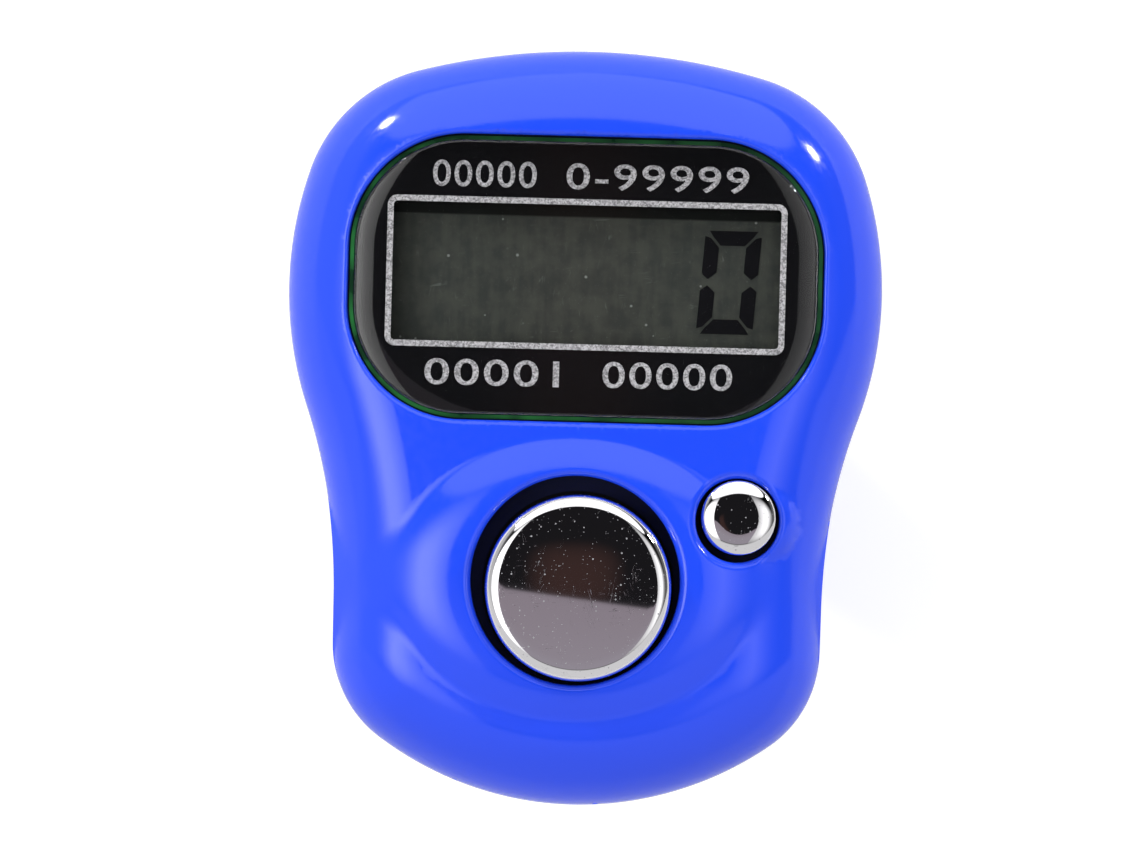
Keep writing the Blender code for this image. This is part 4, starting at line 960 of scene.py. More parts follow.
def darken_below(cap, level):
    """Gives the faces of a cap below a level a second material, which isn't plated: bare plastic made near
    black as painted shade down in the hole.
    """
    cap.data.materials.append(shaded_black())
    for polygon in cap.data.polygons:
        if polygon.center.z < level and polygon.normal.z > -0.5:
            polygon.material_index = 1
    return cap


class COUNTER_OT_buttons(bpy.types.Operator):
    """Builds the two plated buttons"""

    bl_idname = "counter.buttons"
    bl_label = "Buttons"

    def execute(self, context):
        keys = context.scene.counter_keys
        flange_top = context.scene.counter_case.ceiling - 0.1 * MM
        bare_from = flange_top + PLATED_DOWN_TO
        foot = (COUNT_HIGH[0] - COUNT_LOW[0]) / 2, flange_top, COUNT_LOW[2]
        edge = keys.count_edge, keys.count_edge
        profile = cap_profile(keys.count_cap, COUNT_HIGH[2], edge, keys.count_dome, foot)
        count = turned("count_cap", COUNT_AT, profile, count_chrome())
        place(darken_below(count, bare_from), COUNT_KEY, "button_chrome", "count_button")
        foot = (RESET_HIGH[0] - RESET_LOW[0]) / 2, flange_top, RESET_LOW[2]
        edge = keys.reset_edge, keys.reset_edge_drop
        profile = cap_profile(keys.reset_cap, RESET_HIGH[2] - keys.reset_low, edge, keys.reset_dome, foot)
        reset = turned("reset_cap", RESET_AT, profile, reset_chrome(), 96, RESET_LEAN)
        place(darken_below(reset, bare_from), RESET_KEY, "button_chrome", "reset_button")
        return {"FINISHED"}


# Window


def pocket_outline(window, inset=0.0):
    """Outline of the window's pocket in the case, or of what lies that far inside it."""
    width, height = window.width - 2 * inset, window.height - 2 * inset
    return RoundedHole(WINDOW_AT, width, height, window.corner - inset)


# Rings inside the lens's bevel, and the bead's depth under the lens's top and its thickness
PAST_BEVEL = 1.45 * MM, 1.8 * MM
BEAD_DOWN, BEAD_THICKNESS = 1.05 * MM, 0.15 * MM


class COUNTER_OT_lens(bpy.types.Operator):
    """Builds the clear bowed lens with its rounded edge, and the bead of glue round it"""

    bl_idname = "counter.lens"
    bl_label = "Lens"

    def execute(self, context):
        window = context.scene.counter_window
        form = pocket_outline(window, window.gap)
        half = window.width / 2

        def height(points):
            bow = points[:, 0] ** 2 / (2 * window.bow)
            inset = form.inset(points)
            ends = (points[:, 0] / half) ** 4
            turned_down = rounded_side(inset, window.bevel, window.bevel_drop) * ends
            return LENS_HIGH[2] - bow - turned_down - rounded_drop(inset, window.lens_edge)

        def hollow(points):
            return LENS_LOW[2] + window.hollow * (1 - (points[:, 0] / half) ** 2)

        over_edge = edge_steps(window.lens_edge, 6)
        over_bevel = edge_steps(window.bevel, 18)[6:]
        rings = [form.ring(-inset) for inset in [*over_edge, *over_bevel, *PAST_BEVEL]]
        skin = Skin()
        (top,) = skin.fill(rings, [], form.inset, height, spacing=0.4 * MM)
        (bottom,) = skin.fill(rings[:1], [], form.inset, hollow, spacing=1.0 * MM, facing=-1)
        skin.strip(top, bottom)
        place(skin.piece("lens", clear_lens()), CASE, "lens_clear", "display_lens")
        pocket = pocket_outline(window)
        outer, inner = pocket.ring(-0.08 * MM), pocket.ring(0.05 * MM - window.gap)
        high = LENS_HIGH[2] - BEAD_DOWN
        bead = flat_frame("lens_bead", outer, inner, high - BEAD_THICKNESS, high, green_bead())
        place(bead, CASE, "case_blue")
        return {"FINISHED"}


PRINT_LIFT = 0.015 * MM
INK = 0.012 * MM


def flat_frame(name, outer, inner, bottom, top, material):
    """Flat ring between two outlines of equally many points."""
    skin = Skin()
    loops = [skin.add(outer, top), skin.add(inner, top), skin.add(inner, bottom), skin.add(outer, bottom)]
    skin.strip(*loops, loops[0])
    return skin.piece(name, material)


def figures(name, words, at, size, z, material):
    """Printed figures as thin flat shapes of that (width, height), centred on a point."""
    text = bpy.data.curves.new(name, "FONT")
    text.body = words
    text.size = size[1]
    text.space_character = 1.1
    text.offset = 0.01 * MM
    text.extrude = INK
    text.resolution_u = 6
    guide = bpy.data.objects.new(name + "_guide", text)
    bpy.context.scene.collection.objects.link(guide)
    bpy.context.view_layer.update()
    mesh = bpy.data.meshes.new_from_object(guide.evaluated_get(bpy.context.evaluated_depsgraph_get()))
    bpy.data.objects.remove(guide)
    corners = np.array([vert.co for vert in mesh.vertices])
    low, high = corners.min(0), corners.max(0)
    stretch = np.append(np.array(size) / (high - low)[:2], 1)
    for vert in mesh.vertices:
        vert.co = Vector((np.array(vert.co) - (low + high) / 2) * stretch) + Vector((*at, z))
    bm = bmesh.new()
    bm.from_mesh(mesh)
    bmesh.ops.remove_doubles(bm, verts=bm.verts, dist=1e-7)
    return from_bmesh(name, bm, material)


# Name, figures, place from the middle of the view and width, in millimetres
PRINTED = (
    ("range_low", "00000", (-5.2, 4.94), 5.2),
    ("range_high", "0-99999", (3.47, 4.93), 9.15),
    ("count_figure", "00001", (-4.6, -5.04), 6.75),
    ("reset_figure", "00000", (4.2, -5.0), 6.5),
)


class COUNTER_OT_window_print(bpy.types.Operator):
    """Builds the black print behind the lens, its silver line and its plain figures"""

    bl_idname = "counter.window_print"
    bl_label = "Window print"

    def execute(self, context):
        window = context.scene.counter_window
        view_at = WINDOW_AT + (0, window.view_rise)
        outer = pocket_outline(window, window.gap).ring(0)
        view = RoundedHole(view_at, window.view_width, window.view_height, window.view_corner)
        sheet = flat_frame("window_print", outer, view.ring(0), MASK_LOW[2], MASK_HIGH[2], black_print())
        place(sheet, CASE, "window_print", "window_mask")
        z = MASK_HIGH[2] + PRINT_LIFT
        silver = silver_ink()
        line = flat_frame("silver_line", view.ring(window.line), view.ring(0), z, z + 0.02 * MM, silver)
        place(line, CASE, "window_print")
        for name, words, offset, width in PRINTED:
            at = view_at + np.array(offset) * MM
            piece = figures(name, words, at, (width * MM, window.figure), z + INK, silver)
            place(piece, CASE, "window_print")
        return {"FINISHED"}


DIGIT_ASIDE, DIGIT_DOWN = 7.18 * MM, 0.2 * MM
DIGIT_HIGH, DIGIT_LOW = 0.035 * MM, 0.005 * MM


def segment_outlines(width, height, stroke):
    """Corners of the six lit segments of a 0, mitred with blunt tips, about its middle."""
    gap, cut = 0.07 * MM, 0.2 * MM
    middle_gap, tip = 0.16 * MM, 0.3 * MM
    x, y, s = width / 2, height / 2, stroke
    top = [
        (-x + cut, y),
        (x - cut, y),
        (x - s * 0.55, y - s * 0.4),
        (x - s - gap, y - s),
        (-x + s + gap, y - s),
        (-x + s * 0.55, y - s * 0.4),
    ]
    right = [
        (x, y - cut - gap),
        (x, middle_gap + tip - 0.04 * MM),
        (x - s * 0.45, middle_gap),
        (x - s, middle_gap + tip + 0.04 * MM),
        (x - s, y - s - gap * 1.6),
        (x - s * 0.4, y - s * 0.4 - gap),
    ]
    shapes = [top, right, [(a, -b) for a, b in right]]
    shapes += [[(-a, b) for a, b in shape] for shape in shapes[1:]]
    return shapes + [[(a, -b) for a, b in top]]


class COUNTER_OT_display(bpy.types.Operator):
    """Builds the display's front film and the digit that it shows"""

    bl_idname = "counter.display"
    bl_label = "Display"

    def execute(self, context):
        window = context.scene.counter_window
        view_at = WINDOW_AT + (0, window.view_rise)
        width, height, _ = np.subtract(FILM_HIGH, FILM_LOW)
        film = RoundedHole((0.0, middle(FILM_LOW, FILM_HIGH, 1)), width, height, 0.2 * MM)
        skin = Skin()
        top = skin.add(film.ring(0), FILM_HIGH[2])
        bottom = skin.add(film.ring(0), FILM_LOW[2])
        skin.strip(top, bottom)
        skin.faces += [tuple(top), tuple(bottom)]
        place(skin.piece("display_film", display_grey()), CASE, "display_film", "lcd_front_film")
        centre = view_at + (DIGIT_ASIDE, -DIGIT_DOWN)
        lean = math.tan(window.digit_slant)
        skin = Skin()
        for shape in segment_outlines(window.digit_width, window.digit_height, window.digit_stroke):
            flat = np.array([(centre[0] + x + y * lean, centre[1] + y) for x, y in shape])
            upper = skin.add(flat, FILM_HIGH[2] + DIGIT_HIGH)
            lower = skin.add(flat, FILM_HIGH[2] + DIGIT_LOW)
            skin.strip(upper, lower)
            skin.faces += [tuple(upper), tuple(lower)]
        place(skin.piece("display_digit", dark_segment()), CASE, "display_film")
        return {"FINISHED"}


# Finishes


class Nodes:
    """Short calls for adding and linking nodes of a tree."""

    def __init__(self, tree):
        self.tree = tree

    def add(self, kind, **settings):
        node = self.tree.nodes.new(kind)
        for key, value in settings.items():
            if hasattr(node, key):
                setattr(node, key, value)
            else:
                self.put(node.inputs[key.replace("_", " ")], value)
        return node

    def put(self, socket, value):
        if hasattr(value, "is_output") or hasattr(value, "links"):
            self.tree.links.new(value, socket)
        else:
            socket.default_value = value

    def group(self, group, **inputs):
        node = self.tree.nodes.new("ShaderNodeGroup")
        node.node_tree = group
        for key, value in inputs.items():
            self.put(node.inputs[key], value)
        return node.outputs[0]

    def math(self, operation, a, b=0.0):
        node = self.tree.nodes.new("ShaderNodeMath")
        node.operation = operation
        self.put(node.inputs[0], a)
        self.put(node.inputs[1], b)
        return node.outputs[0]

    def ramp(self, value, low, high, to_low=0.0, to_high=1.0):
        node = self.tree.nodes.new("ShaderNodeMapRange")
        node.interpolation_type = "SMOOTHSTEP"
        for index, item in enumerate((value, low, high, to_low, to_high)):
            self.put(node.inputs[index], item)
        return node.outputs[0]

    def where(self):
        """Place in the piece, in metres."""
        return self.add("ShaderNodeTexCoord").outputs["Object"]

    def mapped(self, where, **settings):
        return self.add("ShaderNodeMapping", Vector=where, **settings).outputs[0]

    def noise(self, **settings):
        return self.add("ShaderNodeTexNoise", **settings).outputs["Fac"]

    def mix(self, share, a, b):
        node = self.tree.nodes.new("ShaderNodeMix")
        node.data_type = "RGBA"
        self.put(node.inputs["Factor"], share)
        self.put(node.inputs["A"], a)
        self.put(node.inputs["B"], b)
        return node.outputs["Result"]


def shared_effect(name, output, **inputs):
    """Puts a function's nodes in a shader node group with one output, which is built once."""

    def keep(add_effect):
        def group():
            found = bpy.data.node_groups.get(name)
            if found:
                return found
            tree = bpy.data.node_groups.new(name, "ShaderNodeTree")
            for socket, value in inputs.items():
                made = tree.interface.new_socket(socket, in_out="INPUT", socket_type="NodeSocketFloat")
                made.default_value = value
            tree.interface.new_socket(output, in_out="OUTPUT", socket_type="NodeSocketFloat")
            nodes = Nodes(tree)
            given = nodes.add("NodeGroupInput").outputs
            effect = add_effect(nodes, nodes.where(), given)
            nodes.put(nodes.add("NodeGroupOutput").inputs[output], effect)
            return tree

        return group

    return keep


@shared_effect("Moulding grain", "Height", Wide=120.0, Fine=3000.0)
def moulding_grain(nodes, where, given):
    """Slight unevenness of a moulded surface, as a height."""
    wide = nodes.noise(Vector=where, Scale=given["Wide"], Detail=2.0)
    fine = nodes.noise(Vector=where, Scale=given["Fine"], Detail=3.0)
    return nodes.math("ADD", wide, nodes.math("MULTIPLY", fine, 0.25))


@shared_effect("Dust specks", "Mask", Scale=1500.0, Sparse=0.8, Size=0.15)
def dust_specks(nodes, where, given):
    """Sparse fine dust, as a mask."""
    cells = nodes.add("ShaderNodeTexVoronoi", Vector=where, Scale=given["Scale"]).outputs
    size = nodes.add("ShaderNodeSeparateColor", Color=cells["Color"]).outputs[0]
    few = nodes.ramp(size, given["Sparse"], 1.0)
    return nodes.math("LESS_THAN", cells["Distance"], nodes.math("MULTIPLY", few, given["Size"]))


@shared_effect("Hair scratches", "Mask", Scale=1800.0, Width=0.004)
def hair_scratches(nodes, where, given):
    """Fine short scratches in three directions, as a mask."""
    found = 0.0
    for turn, shift in ((0.2, 0.0), (1.5, 3.1), (-0.3, 7.7)):
        spun = nodes.mapped(where, Rotation=(0, 0, turn), Location=(shift, shift, 0))
        stretched = nodes.mapped(spun, Scale=(1.0, 0.1, 1.0))
        lines = nodes.noise(Vector=stretched, Scale=given["Scale"])
        line = nodes.math("ABSOLUTE", nodes.math("SUBTRACT", lines, 0.5))
        line = nodes.ramp(line, 0.0, given["Width"], 1.0, 0.0)
        patches = nodes.noise(Vector=spun, Scale=1500.0)
        line = nodes.math("MULTIPLY", line, nodes.ramp(patches, 0.57, 0.7))
        found = nodes.math("MAXIMUM", found, line)
    return found


def new_material(name):
    """(material, its nodes, its Principled shader)."""
    material = bpy.data.materials.new(name)
    material.use_nodes = True
    nodes = Nodes(material.node_tree)
    return material, nodes, material.node_tree.nodes["Principled BSDF"]


def shade(shader, **values):
    for key, value in values.items():
        socket = shader.inputs[key.replace("_", " ")]
        socket.default_value = (*value, 1) if isinstance(value, tuple) else value


def finish_named(name, **constants):
    """Puts a function's nodes in a material with that name, which is built once."""

    def keep(add_nodes):
        kept = []

        def material():
            if not kept:
                made, nodes, shader = new_material(name)
                shade(shader, **constants)
                add_nodes(nodes, shader)
                kept.append(made)
            return kept[0]

        return material

    return keep


def colours():
    """The colours that a user may change."""
    return bpy.context.scene.counter_finish


def scaled(colour, share):
    return tuple(v * share for v in colour)


def two_tone(nodes, shader, share, low, high):
    """Colour that varies between two."""
    nodes.put(shader.inputs["Base Color"], nodes.mix(share, (*low, 1), (*high, 1)))


def gloss(nodes, shader, value, start, end, low, high):
    """Roughness that varies with a value."""
    nodes.put(shader.inputs["Roughness"], nodes.ramp(value, start, end, low, high))


def bump(nodes, shader, height, distance, strength):
    node = nodes.add("ShaderNodeBump", Height=height, Distance=distance, Strength=strength)
    nodes.put(shader.inputs["Normal"], node.outputs["Normal"])


@finish_named("Glossy blue plastic", IOR=1.5)
def glossy_blue(nodes, shader):
    """Moulded blue plastic: even gloss, faint unevenness, a few specks."""
    grain = nodes.group(moulding_grain(), Wide=260.0, Fine=2600.0)
    specks = nodes.group(dust_specks(), Scale=420.0, Sparse=0.9, Size=0.09)
    dusty = nodes.math("MULTIPLY", specks, 0.7)
    cloud = nodes.noise(Scale=90.0, Detail=2.0)
    gloss(nodes, shader, cloud, 0.3, 0.7, 0.08, 0.16)
    two_tone(nodes, shader, dusty, colours().blue, (0.35, 0.45, 1.0))
    bump(nodes, shader, grain, 0.004 * MM, 0.35)


@finish_named("Blue plastic in painted shade in the holes", IOR=1.5, Specular_IOR_Level=0.2)
def shaded_blue(nodes, shader):
    """The case's plastic down in its holes, made near black as painted shade, with an uneven grain."""
    grain_in_shade = nodes.noise(Scale=900.0)
    two_tone(nodes, shader, grain_in_shade, scaled(colours().blue, 0.02), scaled(colours().blue, 0.05))
    gloss(nodes, shader, grain_in_shade, 0.3, 0.7, 0.5, 0.7)


@finish_named("Button flange in painted shade", Specular_IOR_Level=0.2)
def shaded_black(nodes, shader):
    """Bare plastic of a button's flange, made near black as painted shade down in the hole."""
    grain_in_shade = nodes.noise(Scale=1200.0)
    two_tone(nodes, shader, grain_in_shade, (0.002, 0.002, 0.003), (0.006, 0.006, 0.01))
    gloss(nodes, shader, grain_in_shade, 0.3, 0.7, 0.5, 0.8)


def chrome(nodes, shader):
    """Bright plating with hair scratches and dust."""
    scratches = nodes.group(hair_scratches(), Scale=2600.0, Width=0.0045)
    coarse = nodes.group(dust_specks(), Scale=4200.0, Sparse=0.66, Size=0.2)
    fine = nodes.group(dust_specks(), Scale=9000.0, Sparse=0.7, Size=0.22)
    specks = nodes.math("MAXIMUM", coarse, fine)
    marks = nodes.math("MAXIMUM", nodes.math("MULTIPLY", scratches, 0.6), specks)
    gloss(nodes, shader, marks, 0.0, 1.0, 0.035, 0.5)
    two_tone(nodes, shader, marks, colours().chrome, (0.36, 0.36, 0.38))
    nodes.put(shader.inputs["Metallic"], nodes.ramp(specks, 0.0, 1.0, 1.0, 0.4))
    bump(nodes, shader, scratches, 0.001 * MM, 0.4)


count_chrome = finish_named("Count chrome")(chrome)
reset_chrome = finish_named("Reset chrome")(chrome)


@finish_named("Clear lens", Base_Color=(0.96, 0.97, 0.96), IOR=1.49, Transmission_Weight=1.0)
def clear_lens(nodes, shader):
    """Clear polished plastic. Light falls through it, so that what lies behind is lit."""
    scratches = nodes.group(hair_scratches(), Scale=900.0, Width=0.003)
    gloss(nodes, shader, scratches, 0.0, 1.0, 0.01, 0.12)
    path = nodes.add("ShaderNodeLightPath").outputs
    past = nodes.math("MAXIMUM", path["Is Shadow Ray"], path["Is Diffuse Ray"])
    through = nodes.add("ShaderNodeBsdfTransparent")
    both = nodes.add("ShaderNodeMixShader")
    for socket, value in zip(both.inputs, (past, shader.outputs[0], through.outputs[0])):
        nodes.put(socket, value)
    nodes.put(nodes.tree.nodes["Material Output"].inputs["Surface"], both.outputs[0])


@finish_named("Lens bead", Specular_IOR_Level=0.3)
def green_bead(nodes, shader):
    """Clear glue that holds the lens, green as seen on edge, uneven along its run, with painted shade
    towards the right.
    """
    where = nodes.where()
    cloud = nodes.noise(Vector=where, Scale=500.0, Detail=2.0)
    # Painted shade: the bead darkens from left to right, where the case's wall shades it.
    across = nodes.add("ShaderNodeSeparateXYZ", Vector=where).outputs["X"]
    painted_shade = nodes.ramp(across, -9 * MM, 9 * MM, 1.0, 0.3)
    share = nodes.math("MULTIPLY", nodes.ramp(cloud, 0.3, 0.7), painted_shade)
    two_tone(nodes, shader, share, (0.002, 0.025, 0.01), (0.01, 0.15, 0.03))
    gloss(nodes, shader, cloud, 0.3, 0.7, 0.25, 0.4)


@finish_named("Black print", Specular_IOR_Level=0.05)
def black_print(nodes, shader):
    """Black ink, seen through the lens."""
    shade(shader, Base_Color=tuple(colours().print_black))
    gloss(nodes, shader, nodes.noise(Scale=1400.0), 0.3, 0.7, 0.25, 0.4)


@finish_named("Silver ink", Metallic=0.3, Roughness=0.45)
def silver_ink(nodes, shader):
    """Silver ink with coarse sparkling flakes and ragged dark specks."""
    silver = colours().silver
    where = nodes.where()
    flakes = nodes.add("ShaderNodeTexVoronoi", Vector=where, Scale=14000.0)
    tone = nodes.add("ShaderNodeSeparateColor", Color=flakes.outputs["Color"]).outputs
    grain = nodes.noise(Vector=where, Scale=7000.0, Detail=2.0)
    share = nodes.math("ADD", nodes.math("MULTIPLY", tone[0], 0.55), grain)
    two_tone(nodes, shader, nodes.ramp(share, 0.45, 1.1), scaled(silver, 0.5), scaled(silver, 1.55))
    bump(nodes, shader, tone[1], 0.01 * MM, 0.6)


@finish_named("Display film", Roughness=0.45, Specular_IOR_Level=0.05)
def display_grey(nodes, shader):
    """Blank display: grey-green film with a painted shadow along its head and its left side, faint streaks
    and dust.
    """
    window = bpy.context.scene.counter_window
    grey = colours().film
    where = nodes.where()
    long = nodes.mapped(where, Scale=(1.0, 0.12, 1.0))
    streaks = nodes.noise(Vector=long, Scale=2200.0, Detail=3.0)
    cloud = nodes.noise(Vector=where, Scale=900.0, Detail=5.0, Roughness=0.65)
    share = nodes.math("ADD", nodes.math("MULTIPLY", streaks, 0.6), cloud)
    dark = (grey[0] * 0.82, grey[1] * 0.85, grey[2] * 0.9, 1)
    body = nodes.mix(nodes.ramp(share, 0.6, 1.0), dark, (*scaled(grey, 1.22), 1))
    specks = nodes.group(dust_specks(), Scale=2600.0, Sparse=0.9, Size=0.2)
    scratches = nodes.group(hair_scratches(), Scale=1500.0, Width=0.006)
    marks = nodes.math("MAXIMUM", specks, nodes.math("MULTIPLY", scratches, 0.35))
    body = nodes.mix(marks, body, (0.17, 0.18, 0.17, 1))
    # Painted shadow of the window's print: a dark band along the head of the view and a soft darkening in
    # from its left side.
    across, along, _ = nodes.add("ShaderNodeSeparateXYZ", Vector=where).outputs
    head = WINDOW_AT[1] + window.view_rise + window.view_height / 2
    painted_shadow_head = nodes.ramp(along, head - 0.66 * MM, head - 0.52 * MM)
    side = -window.view_width / 2
    painted_shade = nodes.ramp(across, side + 0.1 * MM, side + 2.6 * MM, 0.55, 0.0)
    body = nodes.mix(nodes.math("MAXIMUM", painted_shadow_head, painted_shade), body, (0.005, 0.006, 0.0055, 1))
    nodes.put(shader.inputs["Base Color"], body)


@finish_named("Dark segment", Roughness=0.5, Specular_IOR_Level=0.0)
def dark_segment(nodes, shader):
    """Dark liquid crystal segment."""
    dark = colours().segment
    two_tone(nodes, shader, nodes.noise(Scale=2500.0), dark, scaled(dark, 1.7))


@finish_named("Door blue plastic", IOR=1.5)
def door_blue(nodes, shader):
    """The door's blue plastic, duller than the face."""
    grain = nodes.group(moulding_grain(), Wide=500.0, Fine=6000.0)
    specks = nodes.group(dust_specks(), Scale=600.0, Sparse=0.97, Size=0.1)
    two_tone(nodes, shader, specks, scaled(colours().blue, 0.92), (0.3, 0.4, 0.9))
    gloss(nodes, shader, grain, 0.4, 0.8, 0.2, 0.32)
    bump(nodes, shader, grain, 0.02 * MM, 0.5)


@finish_named("Band plastic", IOR=1.45, Sheen_Weight=0.08)
def band_rubber(nodes, shader):
    """Soft matt blue plastic of the band, with fine grain and handled patches."""
    blue = colours().band
    grain = nodes.group(moulding_grain(), Wide=300.0, Fine=9000.0)
    cloud = nodes.noise(Scale=150.0, Detail=3.0)
    two_tone(nodes, shader, cloud, scaled(blue, 0.85), blue)
    gloss(nodes, shader, cloud, 0.3, 0.7, 0.42, 0.6)
    bump(nodes, shader, grain, 0.03 * MM, 0.6)


def plain_finish(name, dark, light, scale, rough, metal, stretch):
    """Finish that varies between two colours over fine noise, for the pieces inside the case."""
    material, nodes, shader = new_material(name)
    shade(shader, Metallic=metal)
    noise = nodes.noise(Vector=nodes.mapped(nodes.where(), Scale=stretch), Scale=scale, Detail=4.0)
    two_tone(nodes, shader, nodes.ramp(noise, 0.3, 0.7), dark, light)
    gloss(nodes, shader, noise, 0.3, 0.7, rough - 0.07, rough + 0.07)
    bump(nodes, shader, noise, 0.01 * MM, 0.5)
    return material


def each_switch(*pieces):
    return tuple(f"{key}_switch_{piece}" for key in ("count", "reset") for piece in pieces)


BLACK_PIECES = ("chip_glob", "chip_resistor", *each_switch("base", "plunger"))
STEEL_PIECES = (*each_switch("cover", "dome"), "battery_door_screw", *CASE_SCREWS)
NICKEL_PIECES = ("battery_cell", "battery_negative_contact", "battery_positive_contact")
GLASS_PIECES = ("lcd_front_glass", "lcd_rear_glass", "lcd_rear_film")
EVEN, LAYERED = (1, 1, 1), (1, 0.02, 0.02)

# Name, darker and lighter colour, fineness, roughness, metal, stretch of the grain, CAD nodes
INNER_FINISHES = (
    ("White moulding", (0.62, 0.61, 0.57), (0.78, 0.77, 0.73), 900, 0.45, 0.0, EVEN, ("lcd_holder",)),
    ("Layered rubber", (0.08, 0.08, 0.09), (0.4, 0.4, 0.42), 9000, 0.6, 0.0, LAYERED, ("zebra_strip",)),
    ("Solder mask", (0.006, 0.085, 0.03), (0.012, 0.13, 0.05), 1500, 0.35, 0.0, EVEN, ("circuit_board",)),
    ("Black moulding", (0.008, 0.008, 0.009), (0.02, 0.02, 0.021), 2500, 0.5, 0.0, EVEN, BLACK_PIECES),
    ("Brown ceramic", (0.28, 0.19, 0.12), (0.42, 0.31, 0.2), 4000, 0.5, 0.0, EVEN, ("chip_capacitor",)),
    ("Drawn steel", (0.42, 0.42, 0.43), (0.62, 0.62, 0.63), 5000, 0.3, 1.0, (1, 0.08, 1), STEEL_PIECES),
    ("Nickel sheet", (0.52, 0.5, 0.46), (0.72, 0.7, 0.65), 3000, 0.25, 1.0, (0.1, 1, 1), NICKEL_PIECES),
    ("Display glass", (0.05, 0.055, 0.05), (0.08, 0.085, 0.078), 600, 0.12, 0.0, EVEN, GLASS_PIECES),
)


class COUNTER_OT_inner_finishes(bpy.types.Operator):
    """Gives the pieces inside the case, and the screws, their finishes"""

    bl_idname = "counter.inner_finishes"
    bl_label = "Inner finishes"

    def execute(self, context):
        for name, dark, light, scale, rough, metal, stretch, nodes in INNER_FINISHES:
            material = plain_finish(name, dark, light, scale, rough, metal, stretch)
            for node in nodes:
                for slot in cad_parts[node].material_slots:
                    slot.material = material
        return {"FINISHED"}


# Stage


def panel(nodes, u, v, u_from, u_to, v_from, v_to, soft):
    """Mask of a rectangle on a plane overhead, with soft edges."""
    inside = nodes.ramp(u, u_from - soft, u_from + soft)
    inside = nodes.math("MULTIPLY", inside, nodes.ramp(u, u_to - soft, u_to + soft, 1.0, 0.0))
    inside = nodes.math("MULTIPLY", inside, nodes.ramp(v, v_from - soft, v_from + soft))
    return nodes.math("MULTIPLY", inside, nodes.ramp(v, v_to - soft, v_to + soft, 1.0, 0.0))


def oval(nodes, u, v, at, half, soft):
    """Mask of an oval on a plane overhead, with soft edges."""
    reach = 0.0
    for value, centre, size in ((u, at[0], half[0]), (v, at[1], half[1])):
        share = nodes.math("DIVIDE", nodes.math("SUBTRACT", value, centre), size)
        reach = nodes.math("ADD", nodes.math("POWER", nodes.math("ABSOLUTE", share), 3.0), reach)
    blur = 3 * soft / min(half)
    return nodes.ramp(reach, 1 - blur, 1 + blur, 1.0, 0.0)


def falloff(nodes, value, stops):
    """Curve through (value, brightness) stops, as a colour ramp."""
    reach = stops[-1][0]
    peak = max(glow for _, glow in stops)
    node = nodes.add("ShaderNodeValToRGB", Fac=nodes.math("DIVIDE", value, reach))
    ramp = node.color_ramp
    while len(ramp.elements) < len(stops):
        ramp.elements.new(1.0)
    for element, (at, glow) in zip(ramp.elements, stops):
        element.position = at / reach
        element.color = (glow / peak,) * 3 + (1,)
    tone = nodes.add("ShaderNodeSeparateColor", Color=node.outputs["Color"])
    return nodes.math("MULTIPLY", tone.outputs[0], peak)


# Brightness of the two side panels: (distance from overhead, brightness) stops
LEFT_PANEL = (
    (0.29, 0.0),
    (0.3, 1.5),
    (0.5, 2.9),
    (0.65, 4.0),
    (0.95, 4.5),
    (1.25, 2.5),
    (1.6, 1.0),
    (2.2, 0.55),
)
RIGHT_PANEL = (
    (0.29, 0.0),
    (0.3, 0.7),
    (0.45, 1.1),
    (0.75, 1.7),
    (0.95, 1.2),
    (1.3, 0.65),
    (1.7, 0.3),
    (2.6, 0.1),
)
OPENING_HALF_WIDTH = 0.3
FAR_EDGE_BEND = 0.4
CARD_SLANT, CARD_EDGE = 0.116, (-0.038, -0.034)


def tent_panels(nodes, u, v, light):
    """Brightness of the tent's panels and walls."""
    bent = nodes.math("MULTIPLY", nodes.math("MULTIPLY", u, u), FAR_EDGE_BEND)
    past = nodes.math("SUBTRACT", v, nodes.math("ADD", bent, light.far))
    far = nodes.math("MULTIPLY", nodes.ramp(past, -0.03, 0.03), light.far_glow)
    near = nodes.ramp(v, -light.near - 0.12, -light.near + 0.02, light.near_glow, 0.0)
    glow = nodes.math("MAXIMUM", far, near)
    leftward = nodes.math("MULTIPLY", u, -1.0)
    ends = nodes.math("MULTIPLY", nodes.ramp(v, -0.75, -0.15), nodes.ramp(v, 0.15, 0.6, 1.0, 0.0))
    sides = (leftward, LEFT_PANEL, light.left_glow), (u, RIGHT_PANEL, light.right_glow)
    for way, stops, share in sides:
        side = nodes.math("MULTIPLY", falloff(nodes, way, stops), share)
        glow = nodes.math("MAXIMUM", glow, nodes.math("MULTIPLY", side, ends))
    glow = nodes.math("MAXIMUM", glow, nodes.ramp(leftward, 0.8, 2.6, 0.0, light.left_wall))
    return nodes.math("MAXIMUM", glow, nodes.ramp(u, 1.0, 4.0, 0.0, light.right_wall))


def camera_opening(nodes, u, v, light):
    """Colour of the opening for the camera: dark, with a pale card over its near half."""
    warm = oval(nodes, u, v, (-0.004, 0.0), (0.06, 0.04), 0.02)
    dark = nodes.mix(warm, (0.011, 0.0105, 0.012, 1), (0.05, 0.027, 0.024, 1))
    card = nodes.mix(nodes.ramp(v, -0.2, -0.03), (0.33, 0.3, 0.34, 1), (0.29, 0.25, 0.285, 1))
    past_card = nodes.ramp(nodes.math("ADD", v, nodes.math("MULTIPLY", u, CARD_SLANT)), *CARD_EDGE)
    half = OPENING_HALF_WIDTH
    inside = panel(nodes, u, v, -half, half, -light.near, light.far, 0.02)
    return nodes.mix(inside, (0, 0, 0, 1), nodes.mix(past_card, card, dark))


